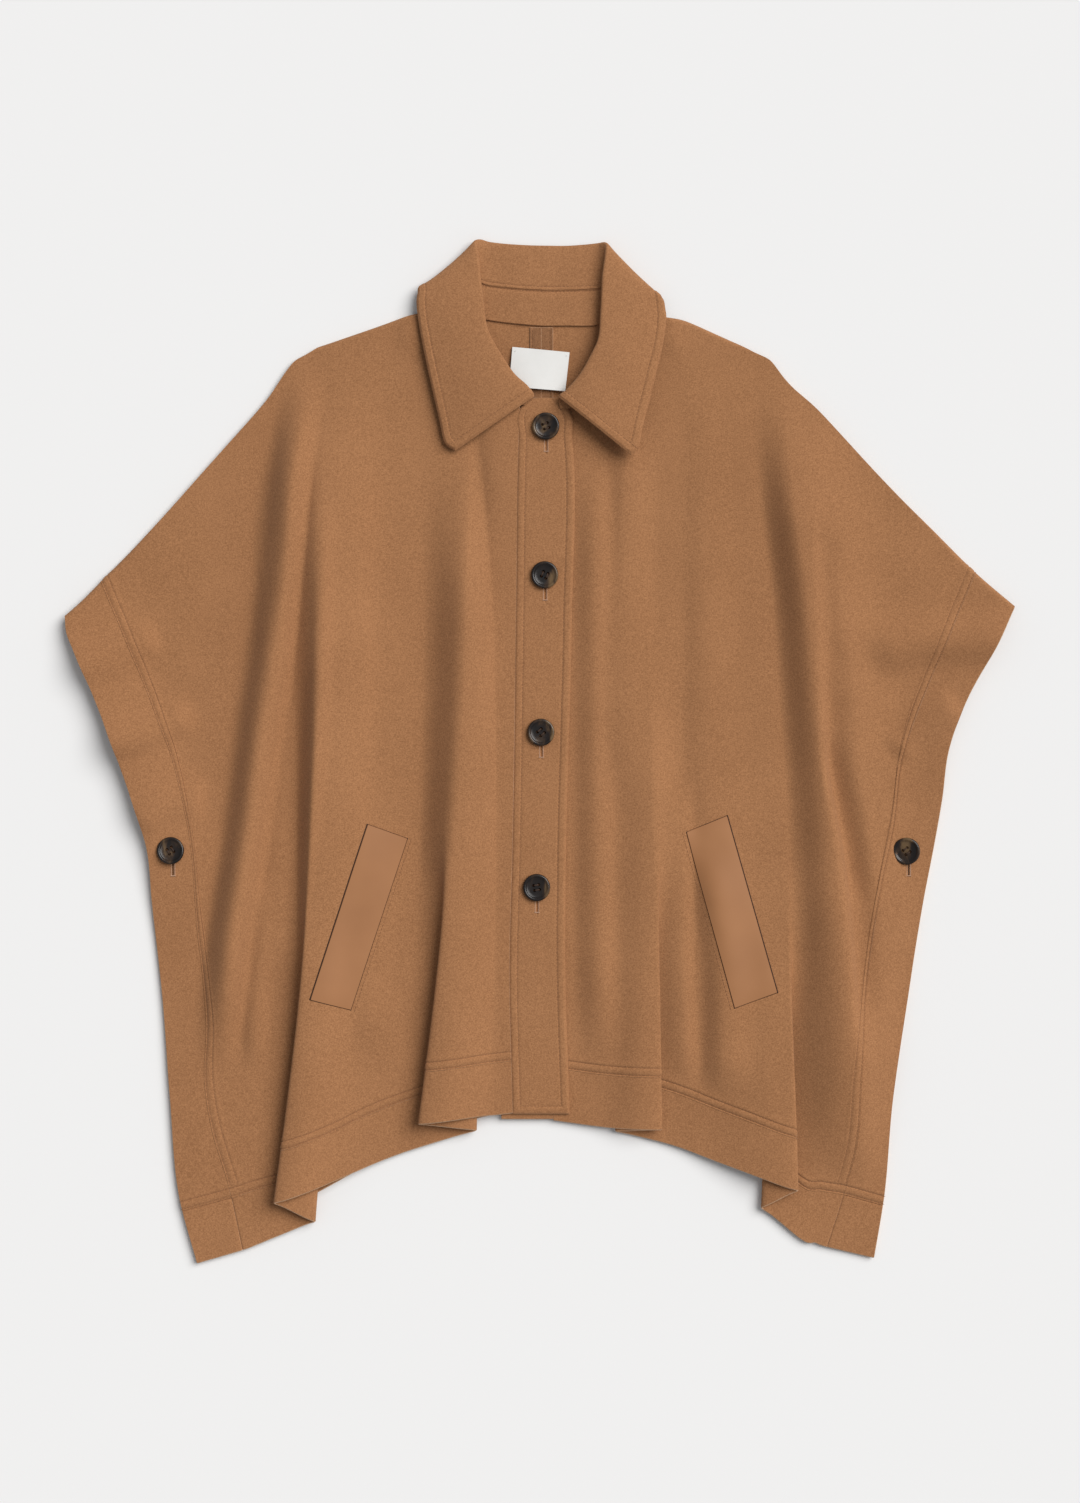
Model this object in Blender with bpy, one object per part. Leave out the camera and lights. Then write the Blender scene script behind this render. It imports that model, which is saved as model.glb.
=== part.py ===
"""A collared, button-front cape of double-face wool, laid flat with its front up.

Sizes are in millimetres and become metres when a mesh is made. The origin is on the surface that the
cape lies on, under the middle of its outline. +X is the wearer's left, +Y runs towards the collar and
+Z points up, away from the surface. The back panels lie flat, the front panels lie on them in soft
pleats, and the placket, collar, pocket welts and buttons lie on the fronts.
"""

import math
from collections import namedtuple

import bpy
import numpy as np
from mathutils import Vector
from mathutils.bvhtree import BVHTree

# ---------------------------------------------------------------- driving sizes
MM = 0.001
CLOTH = 2.2  # thickness of the double-face wool
GAP = 0.3  # clearance between layers that lie on each other
SEAM = 0.9  # clearance between two pieces that are sewn edge to edge
LAYER = CLOTH + GAP
HEM_BAND = 48.0  # height of the band sewn along the hem
PLACKET_CLOTH = 3.2  # the placket is folded double and pressed
SEAM_TAPE = 1.0  # thickness of a pressed-open seam allowance
SEAM_TAPE_WIDTH = 10.5
LABEL_CLOTH = 0.6
WELT_LEATHER = 1.6
BUTTON_DIAMETER = 25.4  # a 40-line coat button
BUTTON_THICK = 4.2
BUTTON_RIM = 2.6  # width of the raised rim
BUTTON_DISH = 1.2  # depth of the dished face
BUTTON_HOLE = 2.2
BUTTON_HOLE_SPACING = 4.6

BACK_Z = CLOTH / 2  # middle of the back panels
FRONT_Z = BACK_Z + LAYER  # middle of the fronts where they lie flat on the back
UNDERLAP_Z = CLOTH + GAP + SEAM_TAPE + GAP + CLOTH / 2
PLACKET_Z = UNDERLAP_Z + CLOTH / 2 + GAP + PLACKET_CLOTH / 2
CENTRE_BACK_X = 1.0
EDGE_ROUND = FRONT_Z - 0.5  # radius of the turned edge along the shoulders and arms
BACK_INSET = EDGE_ROUND + 1.8  # the back stops inside that turned edge

RIGHT, LEFT = -1, 1  # the wearer's right is at -X

# ---------------------------------------------------------------- short tables
Point = namedtuple("Point", "x y")

# The turned edge from the point of the arm up to the neck, as far as the collar stand.
OVERARM = {
    RIGHT: [Point(-441, 126), Point(-424, 141), Point(-378, 187), Point(-339, 234), Point(-296, 280),
            Point(-253, 327), Point(-224, 363), Point(-209, 375), Point(-184, 384), Point(-114, 408),
            Point(-66, 423)],
    LEFT: [Point(441, 135), Point(410, 161), Point(382, 187), Point(338, 234), Point(292, 280),
           Point(251, 327), Point(226, 356), Point(212, 366), Point(171, 384), Point(115, 408),
           Point(68, 424)],
}
# The open edge from the point of the arm down to the corner of the hem.
ARM_EDGE = {
    RIGHT: [Point(-441, 126), Point(-439, 108), Point(-433, 94), Point(-413, 48), Point(-395, 1),
            Point(-379, -45), Point(-365, -92), Point(-361, -138), Point(-351, -231),
            Point(-344, -324), Point(-335, -417), Point(-319, -476)],
    LEFT: [Point(441, 135), Point(421, 94), Point(396, 48), Point(379, 1), Point(373, -45),
           Point(365, -92), Point(356, -138), Point(341, -231), Point(327, -324),
           Point(319, -417), Point(310, -471)],
}
# The seam of the band along that edge. It wanders because the cloth rolls under it.
ARM_SEAM = {
    RIGHT: [Point(-405, 150), Point(-368, 66), Point(-337, -13), Point(-322, -82), Point(-316, -166),
            Point(-307, -250), Point(-311, -310), Point(-304, -352), Point(-288, -400),
            Point(-274, -463)],
    LEFT: [Point(397, 148), Point(361, 65), Point(333, -6), Point(325, -70), Point(311, -134),
           Point(299, -217), Point(295, -300), Point(291, -371), Point(278, -417),
           Point(263, -460)],
}
# One row for each pleat laid into the hem. Each has four lengthwise lines, given at the top and at the
# hem: where the under layer leads in, the hidden loop that it turns back at, the edge that shows, and
# where the top layer ends. The lines cross where the pleat starts to overlap.
Line = namedtuple("Line", "top hem")
Pleat = namedtuple("Pleat", "lead loop edge tail bow height starts full tail_height")
PLEATS = {
    "arm_right": Pleat(
        lead=Line(Point(-255, 325), Point(-240, -449)), loop=Line(Point(-223, 364), Point(-211, -437)),
        edge=Line(Point(-209, 375), Point(-244, -418)), tail=Line(Point(-168, 389), Point(-196, -401)),
        bow=8, height=13, starts=0.0, full=0.30, tail_height=9),
    "chest_right": Pleat(
        lead=Line(Point(-124, 405), Point(-132, -374)), loop=Line(Point(-106, 411), Point(-60, -352)),
        edge=Line(Point(-68, 398), Point(-111, -345)), tail=Line(Point(-62, 352), Point(-52, -338)),
        bow=3, height=13.5, starts=0.10, full=0.50, tail_height=8),
    "arm_left": Pleat(
        lead=Line(Point(262, 314), Point(250, -455)), loop=Line(Point(242, 338), Point(209, -420)),
        edge=Line(Point(214, 365), Point(236, -407)), tail=Line(Point(176, 382), Point(190, -390)),
        bow=0, height=14, starts=0.0, full=0.45, tail_height=10),
    "chest_left": Pleat(
        lead=Line(Point(134, 401), Point(128, -367)), loop=Line(Point(124, 405), Point(71, -353)),
        edge=Line(Point(84, 418), Point(110, -351)), tail=Line(Point(75, 372), Point(66, -350)),
        bow=4, height=11.5, starts=0.30, full=0.70, tail_height=4),
}
# How the ten lines of a pleat lie between its four: the share of the way at the top and at the hem,
# extra reach at the hem in millimetres, and height as a share of the pleat's.
PleatLine = namedtuple("PleatLine", "start end top_share hem_share reach level")
PLEAT_LINES = [
    PleatLine("lead", "loop", 0.00, 0.00, 0, 0.00),
    PleatLine("lead", "loop", 0.35, 0.50, 0, 0.00),
    PleatLine("lead", "loop", 0.70, 0.85, 0, 0.00),
    PleatLine("lead", "loop", 1.00, 1.00, 4, 0.18),
    PleatLine("loop", "edge", 0.33, 0.12, 0, 0.46),
    PleatLine("loop", "edge", 0.67, 0.88, 0, 0.62),
    PleatLine("loop", "edge", 1.00, 1.00, -5, 0.84),
    PleatLine("edge", "tail", 0.20, 0.10, 0, 1.00),
    PleatLine("edge", "tail", 0.60, 0.50, 0, 1.00),
    PleatLine("edge", "tail", 1.00, 1.00, 0, None),
]

# The plain lengthwise lines between the pleats, from the arm inwards.
Plain = namedtuple("Plain", "name top hem height starts full")
FRONT_LINES = {
    RIGHT: [
        Plain("sleeve", Point(-368, 198), Point(-262, -458), 0, 0, 1),
        Plain("sleeve_inner", Point(-310, 265), Point(-250, -453), 0, 0, 1),
        "arm_right",
        Plain("pocket", Point(-145, 397), Point(-164, -387), 3, 0, 0.4),
        "chest_right",
        Plain("by_placket", Point(-44, 333), Point(-42, -338), PLACKET_Z - FRONT_Z, -1, 0),
        Plain("placket", Point(-21, 322), Point(-26, -336), PLACKET_Z - FRONT_Z, -1, 0),
    ],
    LEFT: [
        Plain("sleeve", Point(366, 204), Point(258, -458), 0, 0, 1),
        Plain("sleeve_inner", Point(312, 259), Point(254, -456), 0, 0, 1),
        "arm_left",
        Plain("pocket", Point(150, 394), Point(158, -379), 4, 0, 0.4),
        "chest_left",
        Plain("by_placket", Point(48, 330), Point(40, -347), UNDERLAP_Z - FRONT_Z, -1, 0),
        Plain("underlap", Point(17, 318), Point(13, -343), UNDERLAP_Z - FRONT_Z, -1, 0),
    ],
}
# The lower edge of the back, from the centre outwards.
BACK_HEM = {
    RIGHT: [Point(1, -330), Point(-60, -340), Point(-100, -353), Point(-150, -378), Point(-186, -399),
            Point(-207, -411), Point(-240, -427), Point(-274, -449), Point(-318, -468)],
    LEFT: [Point(1, -330), Point(71, -345), Point(110, -352), Point(150, -366), Point(207, -390),
           Point(225, -412), Point(250, -440), Point(270, -454), Point(309, -463)],
}

# Rows of a panel: millimetres below the turned edge, then shares of the way to the hem band.
TURNED_ROWS = [0, 0.5, 1.6, EDGE_ROUND]
PANEL_SHARES = [0.02, 0.05, 0.10, 0.16, 0.24, 0.33, 0.43, 0.53, 0.63, 0.73, 0.82, 0.91]

# Soft ridges in the fronts that do not fold over: the line of the crest, its height, and how wide the
# cloth falls away on the wearer's right and left of it.
Ridge = namedtuple("Ridge", "crest height right_width left_width")
RIDGES = [
    Ridge([Point(-241, 330), Point(-249, 170), Point(-258, 40), Point(-272, -60), Point(-287, -150),
           Point(-300, -270)], 11, 13, 30),
    Ridge([Point(250, 300), Point(258, 141), Point(270, 29), Point(276, -45), Point(282, -120),
           Point(289, -185), Point(296, -300)], 11, 26, 12),
    Ridge([Point(92, 300), Point(88, 120), Point(86, -30), Point(92, -160)], 7, 16, 55),
    Ridge([Point(163, -80), Point(168, -200), Point(174, -330)], 5, 14, 26),
    Ridge([Point(124, -120), Point(122, -220), Point(124, -320)], 4, 14, 13),
]
RIDGE_FADE = 0.22  # share of its length over which a ridge rises from nothing

# The curl of the whole garment off the surface along the arm edges.
Curl = namedtuple("Curl", "side height reach middle_y half_length")
CURLS = [Curl(RIGHT, 7, 70, 40, 190), Curl(LEFT, 5, 60, 60, 170)]

# The collar from the wearer's right front end round the back to the left front end. seam is the neck
# seam, roll the fold line and edge the outer edge, in plan. The heights are those of the stand, the
# top of the roll, the middle of the fall and the outer edge.
Station = namedtuple("Station", "seam roll edge stand_z roll_z fall_z edge_z")
COLLAR_RIGHT = [
    Station(Point(-15, 321), Point(-6, 329), Point(-79, 279), 10.6, 12.6, 14.5, 11.0),
    Station(Point(-24, 323), Point(-12, 338), Point(-88, 286), 9.6, 12.6, 15.0, 10.6),
    Station(Point(-38, 329), Point(-23, 348), Point(-93, 307), 8.6, 12.4, 15.0, 10.2),
    Station(Point(-51, 339), Point(-32, 360), Point(-99, 333), 8.0, 12.2, 14.5, 10.0),
    Station(Point(-62, 353), Point(-41, 374), Point(-105, 360), 7.6, 12.0, 14.0, 10.0),
    Station(Point(-69, 372), Point(-49, 391), Point(-110, 385), 7.4, 11.6, 13.5, 10.0),
    Station(Point(-71, 390), Point(-52, 408), Point(-113, 404), 7.4, 11.4, 13.2, 10.2),
    Station(Point(-71, 403), Point(-54, 425), Point(-114, 417), 7.4, 11.4, 13.0, 10.4),
    Station(Point(-69, 412), Point(-56, 442), Point(-113, 425), 7.2, 11.2, 12.4, 10.2),
    Station(Point(-65, 416), Point(-58, 458), Point(-113, 429), 6.8, 9.6, 10.5, 9.2),
    Station(Point(-60, 414), Point(-59, 470), Point(-111, 430), 6.4, 6.4, 6.2, 5.8),
    Station(Point(-55, 409), Point(-55, 474), Point(-109, 426), 6.1, 3.6, 2.2, 2.0),
    Station(Point(-47, 402), Point(-46, 472), Point(-103, 418), 6.1, 2.8, 1.2, 1.1),
    Station(Point(-24, 397), Point(-24, 470), Point(-60, 398), 6.1, 2.4, 1.1, 1.1),
]
COLLAR_BACK = [Station(Point(1, 395), Point(1, 469), Point(1, 391), 6.1, 2.4, 1.1, 1.1)]
COLLAR_LEFT = [
    Station(Point(24, 395), Point(24, 469), Point(58, 395), 6.1, 2.4, 1.1, 1.1),
    Station(Point(48, 402), Point(50, 471), Point(105, 414), 6.1, 2.8, 1.2, 1.1),
    Station(Point(57, 408), Point(59, 472), Point(111, 421), 6.1, 3.6, 2.2, 2.0),
    Station(Point(62, 413), Point(63, 469), Point(114, 425), 6.4, 6.4, 6.2, 5.8),
    Station(Point(68, 415), Point(63, 458), Point(116, 424), 6.8, 9.6, 10.5, 9.2),
    Station(Point(73, 410), Point(61, 442), Point(117, 420), 7.2, 11.2, 12.4, 10.2),
    Station(Point(76, 401), Point(59, 425), Point(117, 412), 7.4, 11.4, 13.0, 10.4),
    Station(Point(76, 388), Point(57, 407), Point(116, 400), 7.4, 11.6, 13.2, 10.6),
    Station(Point(74, 369), Point(55, 382), Point(113, 377), 7.4, 12.0, 14.2, 11.0),
    Station(Point(67, 349), Point(46, 364), Point(107, 352), 7.6, 12.6, 15.2, 11.6),
    Station(Point(55, 335), Point(38, 350), Point(101, 327), 8.0, 13.0, 16.2, 12.6),
    Station(Point(42, 325), Point(30, 340), Point(95, 304), 8.6, 13.4, 17.0, 13.8),
    Station(Point(28, 319), Point(22, 332), Point(90, 282), 9.6, 13.6, 17.5, 15.0),
    Station(Point(19, 318), Point(17, 328), Point(84, 274), 10.6, 13.6, 17.5, 15.6),
]
COLLAR_STATIONS = COLLAR_RIGHT + COLLAR_BACK + COLLAR_LEFT

# The placket and the underlap that it buttons over: left and right edges at four heights.
Width = namedtuple("Width", "y right_x left_x")
PLACKET = [Width(327, -10, 17), Width(317, -19, 26), Width(290, -20, 29), Width(120, -22.5, 28.5), Width(-100, -26, 23),
           Width(-200, -28.5, 22.5), Width(-337, -25.5, 26.5)]
UNDERLAP = [Width(317, -27, 16), Width(120, -29, 16), Width(-100, -33, 12), Width(-342, -36, 12)]

Welt = namedtuple("Welt", "name top_outer top_inner low_inner low_outer")
WELTS = [
    Welt("pocket_welt_right", Point(-160, -69), Point(-124, -82), Point(-176, -240), Point(-212, -230)),
    Welt("pocket_welt_left", Point(173, -61), Point(136, -76), Point(180, -238), Point(219, -224)),
]
LABEL = [Point(-26, 375), Point(27, 370), Point(23, 334), Point(-29, 338)]

Button = namedtuple("Button", "name x y")
BUTTONS = [
    Button("button_1", 5, 301), Button("button_2", 4, 163), Button("button_3", 0.5, 17),
    Button("button_4", -3.5, -127), Button("button_side_right", -343, -93),
    Button("button_side_left", 340, -93),
]


# ---------------------------------------------------------------- curves and surfaces
def rise(start, end, at):
    """0 before start, 1 after end, smooth between."""
    share = np.clip((np.asarray(at, float) - start) / (end - start), 0, 1)
    return share * share * (3 - 2 * share)


def through(known, values, at):
    """A smooth curve through a short table, read at other places."""
    known, values = np.asarray(known, float), np.asarray(values, float)
    if known[0] > known[-1]:
        known, values = known[::-1], values[::-1]
    slope = np.gradient(values, known)
    at = np.clip(at, known[0], known[-1])
    i = np.clip(np.searchsorted(known, at) - 1, 0, len(known) - 2)
    span = known[i + 1] - known[i]
    s = (at - known[i]) / span
    return ((2 * s**3 - 3 * s**2 + 1) * values[i] + (s**3 - 2 * s**2 + s) * span * slope[i]
            + (3 * s**2 - 2 * s**3) * values[i + 1] + (s**3 - s**2) * span * slope[i + 1])


def across(table, y):
    """The x of a line given by its points, at each y."""
    return through([p.y for p in table], [p.x for p in table], y)


def spline_weights(count, at):
    """Weights of a cubic B-spline on count points that starts on the first and ends on the last, read at
    places from 0 to count - 1."""
    at = np.asarray(at, float)
    i = np.clip(np.floor(at).astype(int), 0, count - 2)
    s = at - i
    parts = [(1 - s) ** 3 / 6, (3 * s**3 - 6 * s**2 + 4) / 6, (-3 * s**3 + 3 * s**2 + 3 * s + 1) / 6, s**3 / 6]
    weights = np.zeros((len(at), count + 2))
    rows = np.arange(len(at))
    for k, part in enumerate(parts):
        weights[rows, i + k] += part
    # the point beyond each end mirrors the one inside it, so the curve meets the end
    weights[:, 1] += 2 * weights[:, 0]
    weights[:, 2] -= weights[:, 0]
    weights[:, -2] += 2 * weights[:, -1]
    weights[:, -3] -= weights[:, -1]
    return weights[:, 1:-1]


def unit(vectors):
    return vectors / np.linalg.norm(vectors, axis=2, keepdims=True)


def normals_of(grid, seam_row=None, seam_column=None):
    """The unit normal at each point of a grid. The two lines of points along a seam share theirs, so
    that the cloth on each side of it ends in parallel faces."""
    normal = unit(np.cross(np.gradient(grid, axis=0), np.gradient(grid, axis=1)))
    if seam_row is not None:
        pair = slice(seam_row, seam_row + 2)
        normal[pair] = unit(normal[pair].mean(axis=0, keepdims=True))
    if seam_column is not None:
        pair = slice(seam_column, seam_column + 2)
        normal[:, pair] = unit(normal[:, pair].mean(axis=1, keepdims=True))
    return normal


def ridge_height(x, y):
    total = np.zeros_like(x)
    for ridge in RIDGES:
        top, low = ridge.crest[0].y, ridge.crest[-1].y
        away = x - across(ridge.crest, y)
        width = np.where(away < 0, ridge.right_width, ridge.left_width)
        along = (top - y) / (top - low)
        ends = rise(0, RIDGE_FADE, along) * rise(0, RIDGE_FADE, 1 - along)
        total += ridge.height * ends * np.exp(-((away / width) ** 2))
    return total


def lift(x, y):
    """How far the whole garment stands off the surface: over the collar's fall, and along the arms."""
    total = LAYER * rise(362, 384, y) * (1 - rise(120, 140, np.abs(x)))
    for curl in CURLS:
        inward = -curl.side * (x - across(ARM_EDGE[curl.side], y))
        along = np.clip(1 - ((y - curl.middle_y) / curl.half_length) ** 2, 0, 1)
        total += curl.height * along**2 * (1 - rise(-5, curl.reach, inward))
    return total


def inner_edge(side, y):
    """The x at which a front is sewn to the placket or to the underlap."""
    if side == RIGHT:
        return across([Point(w.right_x, w.y) for w in PLACKET[1:]], y) - SEAM
    return across([Point(w.left_x, w.y) for w in UNDERLAP], y) + SEAM


def height_of(grid):
    """A function that gives the height of a grid at (x, y), seen from above. It is None off the grid."""
    rows, columns = grid.shape[:2]
    faces = [(i * columns + j, i * columns + j + 1, (i + 1) * columns + j + 1, (i + 1) * columns + j)
             for i in range(rows - 1) for j in range(columns - 1)]
    tree = BVHTree.FromPolygons([tuple(p) for p in grid.reshape(-1, 3)], faces)

    def read(x, y):
        hit = tree.ray_cast(Vector((x, y, 200)), Vector((0, 0, -1)))[0]
        return None if hit is None else hit.z

    return read


def rest_on(grid, under, clearance):
    """Raises a grid wherever it comes nearer than clearance to the surface that it lies on."""
    rows, columns = grid.shape[:2]
    shares = (0, 0.25, 0.5, 0.75, 1)
    need = np.zeros((rows, columns))
    for i in range(rows - 1):
        for j in range(columns - 1):
            a, b, c, d = grid[i, j], grid[i, j + 1], grid[i + 1, j], grid[i + 1, j + 1]
            for s in shares:
                for t in shares:
                    x, y, z = (a * (1 - t) + b * t) * (1 - s) + (c * (1 - t) + d * t) * s
                    low = under(x, y)
                    if low is not None and low + clearance > z:
                        short = low + clearance - z
                        for k, m in ((i, j), (i, j + 1), (i + 1, j), (i + 1, j + 1)):
                            need[k, m] = max(need[k, m], short)
    grid[..., 2] += need
    return grid


# ---------------------------------------------------------------- the lengthwise lines of a panel
Lines = namedtuple("Lines", "side top hem bow height starts full wraps")
ARM_SEAM_LINE = 2  # of the lines of every panel, the one under the seam of the arm band


def on_edge(table, x):
    """The y of the turned edge at each x."""
    table = sorted(table)
    return float(np.interp(x, [p.x for p in table], [p.y for p in table]))


def between(a, b, share):
    return Point(a.x + (b.x - a.x) * share, a.y + (b.y - a.y) * share)


def arm_lines(side, low_edge, low_seam, inner_top, inner_low):
    """The lines of the arm band and the first one inside its seam."""
    high_edge, high_seam = ARM_EDGE[side][0], ARM_SEAM[side][0]
    middle_x = (high_edge.x + high_seam.x) / 2
    middle = Point(middle_x, on_edge(OVERARM[side], middle_x))
    return [(high_edge, low_edge), (middle, between(low_edge, low_seam, 0.5)), (high_seam, low_seam),
            (between(high_seam, inner_top, 0.45), between(low_seam, inner_low, 0.45))]


def front_lines(side):
    """Every lengthwise line of a front, from the arm edge inwards."""
    first = FRONT_LINES[side][0]
    rows = [(top, low, 0, 0, 0, 1, True)
            for top, low in arm_lines(side, ARM_EDGE[side][-1], ARM_SEAM[side][-1], first.top, first.hem)]
    for item in FRONT_LINES[side]:
        if isinstance(item, Plain):
            rows.append((item.top, item.hem, 0, item.height, item.starts, item.full, item.top.y > 376))
            continue
        pleat = PLEATS[item]
        for part in PLEAT_LINES:
            a, b = getattr(pleat, part.start), getattr(pleat, part.end)
            top, low = between(a.top, b.top, part.top_share), between(a.hem, b.hem, part.hem_share)
            low = Point(low.x - side * part.reach, low.y)
            level = pleat.tail_height if part.level is None else part.level * pleat.height
            rows.append((top, low, -side * pleat.bow, level, pleat.starts, pleat.full, top.y > 376))
    return Lines(side, *(np.array(column, float) for column in zip(*rows)))


def back_lines(side, count=8):
    """Evenly spread lines of a back, from the arm edge inwards to the centre seam."""
    neck_x, neck_y = OVERARM[side][-1]
    high, low = ARM_SEAM[side][0].x, ARM_SEAM[side][-1].x
    lines = []
    for share in np.linspace(0, 1, count)[1:]:
        x = high + (CENTRE_BACK_X + side * SEAM / 2 - high) * share
        y = on_edge(OVERARM[side], x) if abs(x) > abs(neck_x) else np.interp(abs(x), [0, 40, abs(neck_x)], [404, 404, neck_y])
        low_x = low + (CENTRE_BACK_X + side * SEAM / 2 - low) * share
        lines.append((Point(x, y), Point(low_x, on_edge(BACK_HEM[side], low_x))))
    low_seam = Point(low, on_edge(BACK_HEM[side], low))
    lines = arm_lines(side, BACK_HEM[side][-1], low_seam, *lines[0]) + lines
    tops, hems = np.array([a for a, b in lines], float), np.array([b for a, b in lines], float)
    nothing = np.zeros(len(lines))
    return Lines(side, tops, hems, nothing, nothing, nothing, nothing + 1, nothing)


def panel_grid(lines, places, base, top_inset, ridged):
    """The middle surface of a panel from its top edge to its hem. places are where the lines are read,
    0 at the arm edge. The last three rows are the hem band."""
    top_y = lines.top[:, 1] - top_inset
    length = top_y - lines.hem[:, 1]
    seam = length - HEM_BAND
    downs = [np.full_like(length, mm) for mm in TURNED_ROWS]
    downs += [EDGE_ROUND + share * (seam - EDGE_ROUND) for share in PANEL_SHARES]
    downs += [seam - SEAM / 2, seam + SEAM / 2, seam + HEM_BAND / 2, length]
    weights = spline_weights(len(length), places)
    grid = []
    for down in downs:
        f = down / length
        y = top_y - down
        x = lines.top[:, 0] + (lines.hem[:, 0] - lines.top[:, 0]) * f + lines.bow * 4 * f * (1 - f)
        x[0] = across(ARM_EDGE[lines.side], y[0])
        x[2] = across(ARM_SEAM[lines.side], y[2])
        x[1] = (x[0] + x[2]) / 2
        x[3] = x[2] + (x[4] - x[2]) * 0.45
        if ridged:
            x[-1] = inner_edge(lines.side, y[-1])
        turned = np.clip(1 - down / EDGE_ROUND, 0, 1)
        z = base + lines.height * rise(lines.starts, lines.full, f)
        z -= lines.wraps * EDGE_ROUND * (1 - np.sqrt(1 - turned**2))
        px, py, pz = weights @ x, weights @ y, weights @ z
        if ridged:
            pz = pz + ridge_height(px, py)
        grid.append(np.stack([px, py, pz + lift(px, py)], axis=1))
    return np.array(grid)


# ---------------------------------------------------------------- making objects
def material(name, colour, roughness):
    made = bpy.data.materials.new(name)
    made.use_nodes = True
    shader = made.node_tree.nodes["Principled BSDF"]
    shader.inputs["Base Color"].default_value = (*colour, 1)
    shader.inputs["Roughness"].default_value = roughness
    return made


def mesh_object(name, points, faces, finish, collection):
    mesh = bpy.data.meshes.new(name)
    mesh.from_pydata([tuple(float(v) * MM for v in p) for p in points], [], faces)
    mesh.materials.append(finish)
    made = bpy.data.objects.new(name, mesh)
    collection.objects.link(made)
    return made


def wall(name, grid, normals, thick, finish, keep=None):
    """A closed wall of cloth with the grid as its middle surface. keep says which of the grid's
    quads it has; without it, it has them all."""
    rows, columns = grid.shape[:2]
    upper = (grid + normals * thick / 2).reshape(-1, 3)
    under = (grid - normals * thick / 2).reshape(-1, 3)
    below = rows * columns
    if keep is None:
        keep = np.ones((rows - 1, columns - 1), bool)
    quads = [(i * columns + j, (i + 1) * columns + j, (i + 1) * columns + j + 1, i * columns + j + 1)
             for i, j in zip(*np.nonzero(keep))]
    sides = {(a, b) for quad in quads for a, b in zip(quad, quad[1:] + quad[:1])}
    faces = list(quads) + [tuple(below + v for v in reversed(quad)) for quad in quads]
    faces += [(b, a, below + a, below + b) for a, b in sides if (b, a) not in sides]
    used = sorted({v for face in faces for v in face})
    number = {v: k for k, v in enumerate(used)}
    points = np.concatenate([upper, under])[used]
    return mesh_object(name, points, [[number[v] for v in face] for face in faces], finish, cape)


for obj in list(bpy.data.objects):
    bpy.data.objects.remove(obj)
cape = bpy.data.collections.new("wool_cape")
cutters = bpy.data.collections.new("cutters")
for collection in (cape, cutters):
    bpy.context.scene.collection.children.link(collection)
cutters.hide_render = True
wool = material("wool", (0.36, 0.17, 0.08), 0.95)
leather = material("welt_leather", (0.40, 0.19, 0.09), 0.45)
horn = material("horn", (0.035, 0.022, 0.015), 0.3)
label_cloth = material("label_cloth", (0.75, 0.75, 0.73), 0.8)

# ---------------------------------------------------------------- backs and fronts
ARM_PLACES = [0, 0.6, 1.3, 1.985]
arm, inner = slice(0, len(ARM_PLACES)), slice(len(ARM_PLACES), None)
panel, band = slice(0, -3), slice(-3, None)


def cut_panel(grid, name, side_word):
    """Cuts a panel's surface into the panel, its hem band and its arm band, and gives each a wall."""
    normals = normals_of(grid, len(grid) - 4, len(ARM_PLACES) - 1)
    wall(f"{name}_arm_band_{side_word}", grid[:, arm], normals[:, arm], CLOTH, wool)
    wall(f"{name}_{side_word}", grid[panel, inner], normals[panel, inner], CLOTH, wool)
    wall(f"{name}_hem_{side_word}", grid[band, inner], normals[band, inner], CLOTH, wool)


back_height, front_height = {}, {}
for side, word in ((RIGHT, "right"), (LEFT, "left")):
    lines = back_lines(side)
    places = ARM_PLACES + [2.015] + list(range(3, len(lines.top)))
    grid = panel_grid(lines, places, BACK_Z, BACK_INSET, False)
    cut_panel(grid, "back", word)
    back_height[side] = height_of(grid)

    lines = front_lines(side)
    last = len(lines.top) - 1
    loops = [i + 0.5 for i in range(4, last) if lines.full[i] < 1 and abs(lines.height[i + 1] - lines.height[i]) > 2]
    places = ARM_PLACES + sorted([2.015] + list(range(3, last + 1)) + loops)
    grid = panel_grid(lines, places, FRONT_Z, CLOTH / 2 + 0.5, True)
    grid = rest_on(grid, back_height[side], LAYER + 0.2)
    cut_panel(grid, "front", word)
    front_height[side] = height_of(grid)

# ---------------------------------------------------------------- centre back
tape_height = {}
top_y, low_y = 393, BACK_HEM[RIGHT][0].y + 6
ys = np.array([top_y, 384, 372, 360, 348, 320, 200, 0, -200, low_y])
for side, word in ((RIGHT, "right"), (LEFT, "left")):
    xs = CENTRE_BACK_X + side * np.array([0.3, SEAM_TAPE_WIDTH])
    x, y = np.meshgrid(np.sort(xs), ys)
    grid = np.stack([x, y, x * 0], axis=2)
    grid = rest_on(grid, back_height[side], CLOTH / 2 + GAP + SEAM_TAPE / 2)
    tape_height[side] = height_of(grid)
    wall(f"back_seam_allowance_{word}", grid, np.zeros_like(grid) + [0, 0, 1], SEAM_TAPE, wool)

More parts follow.
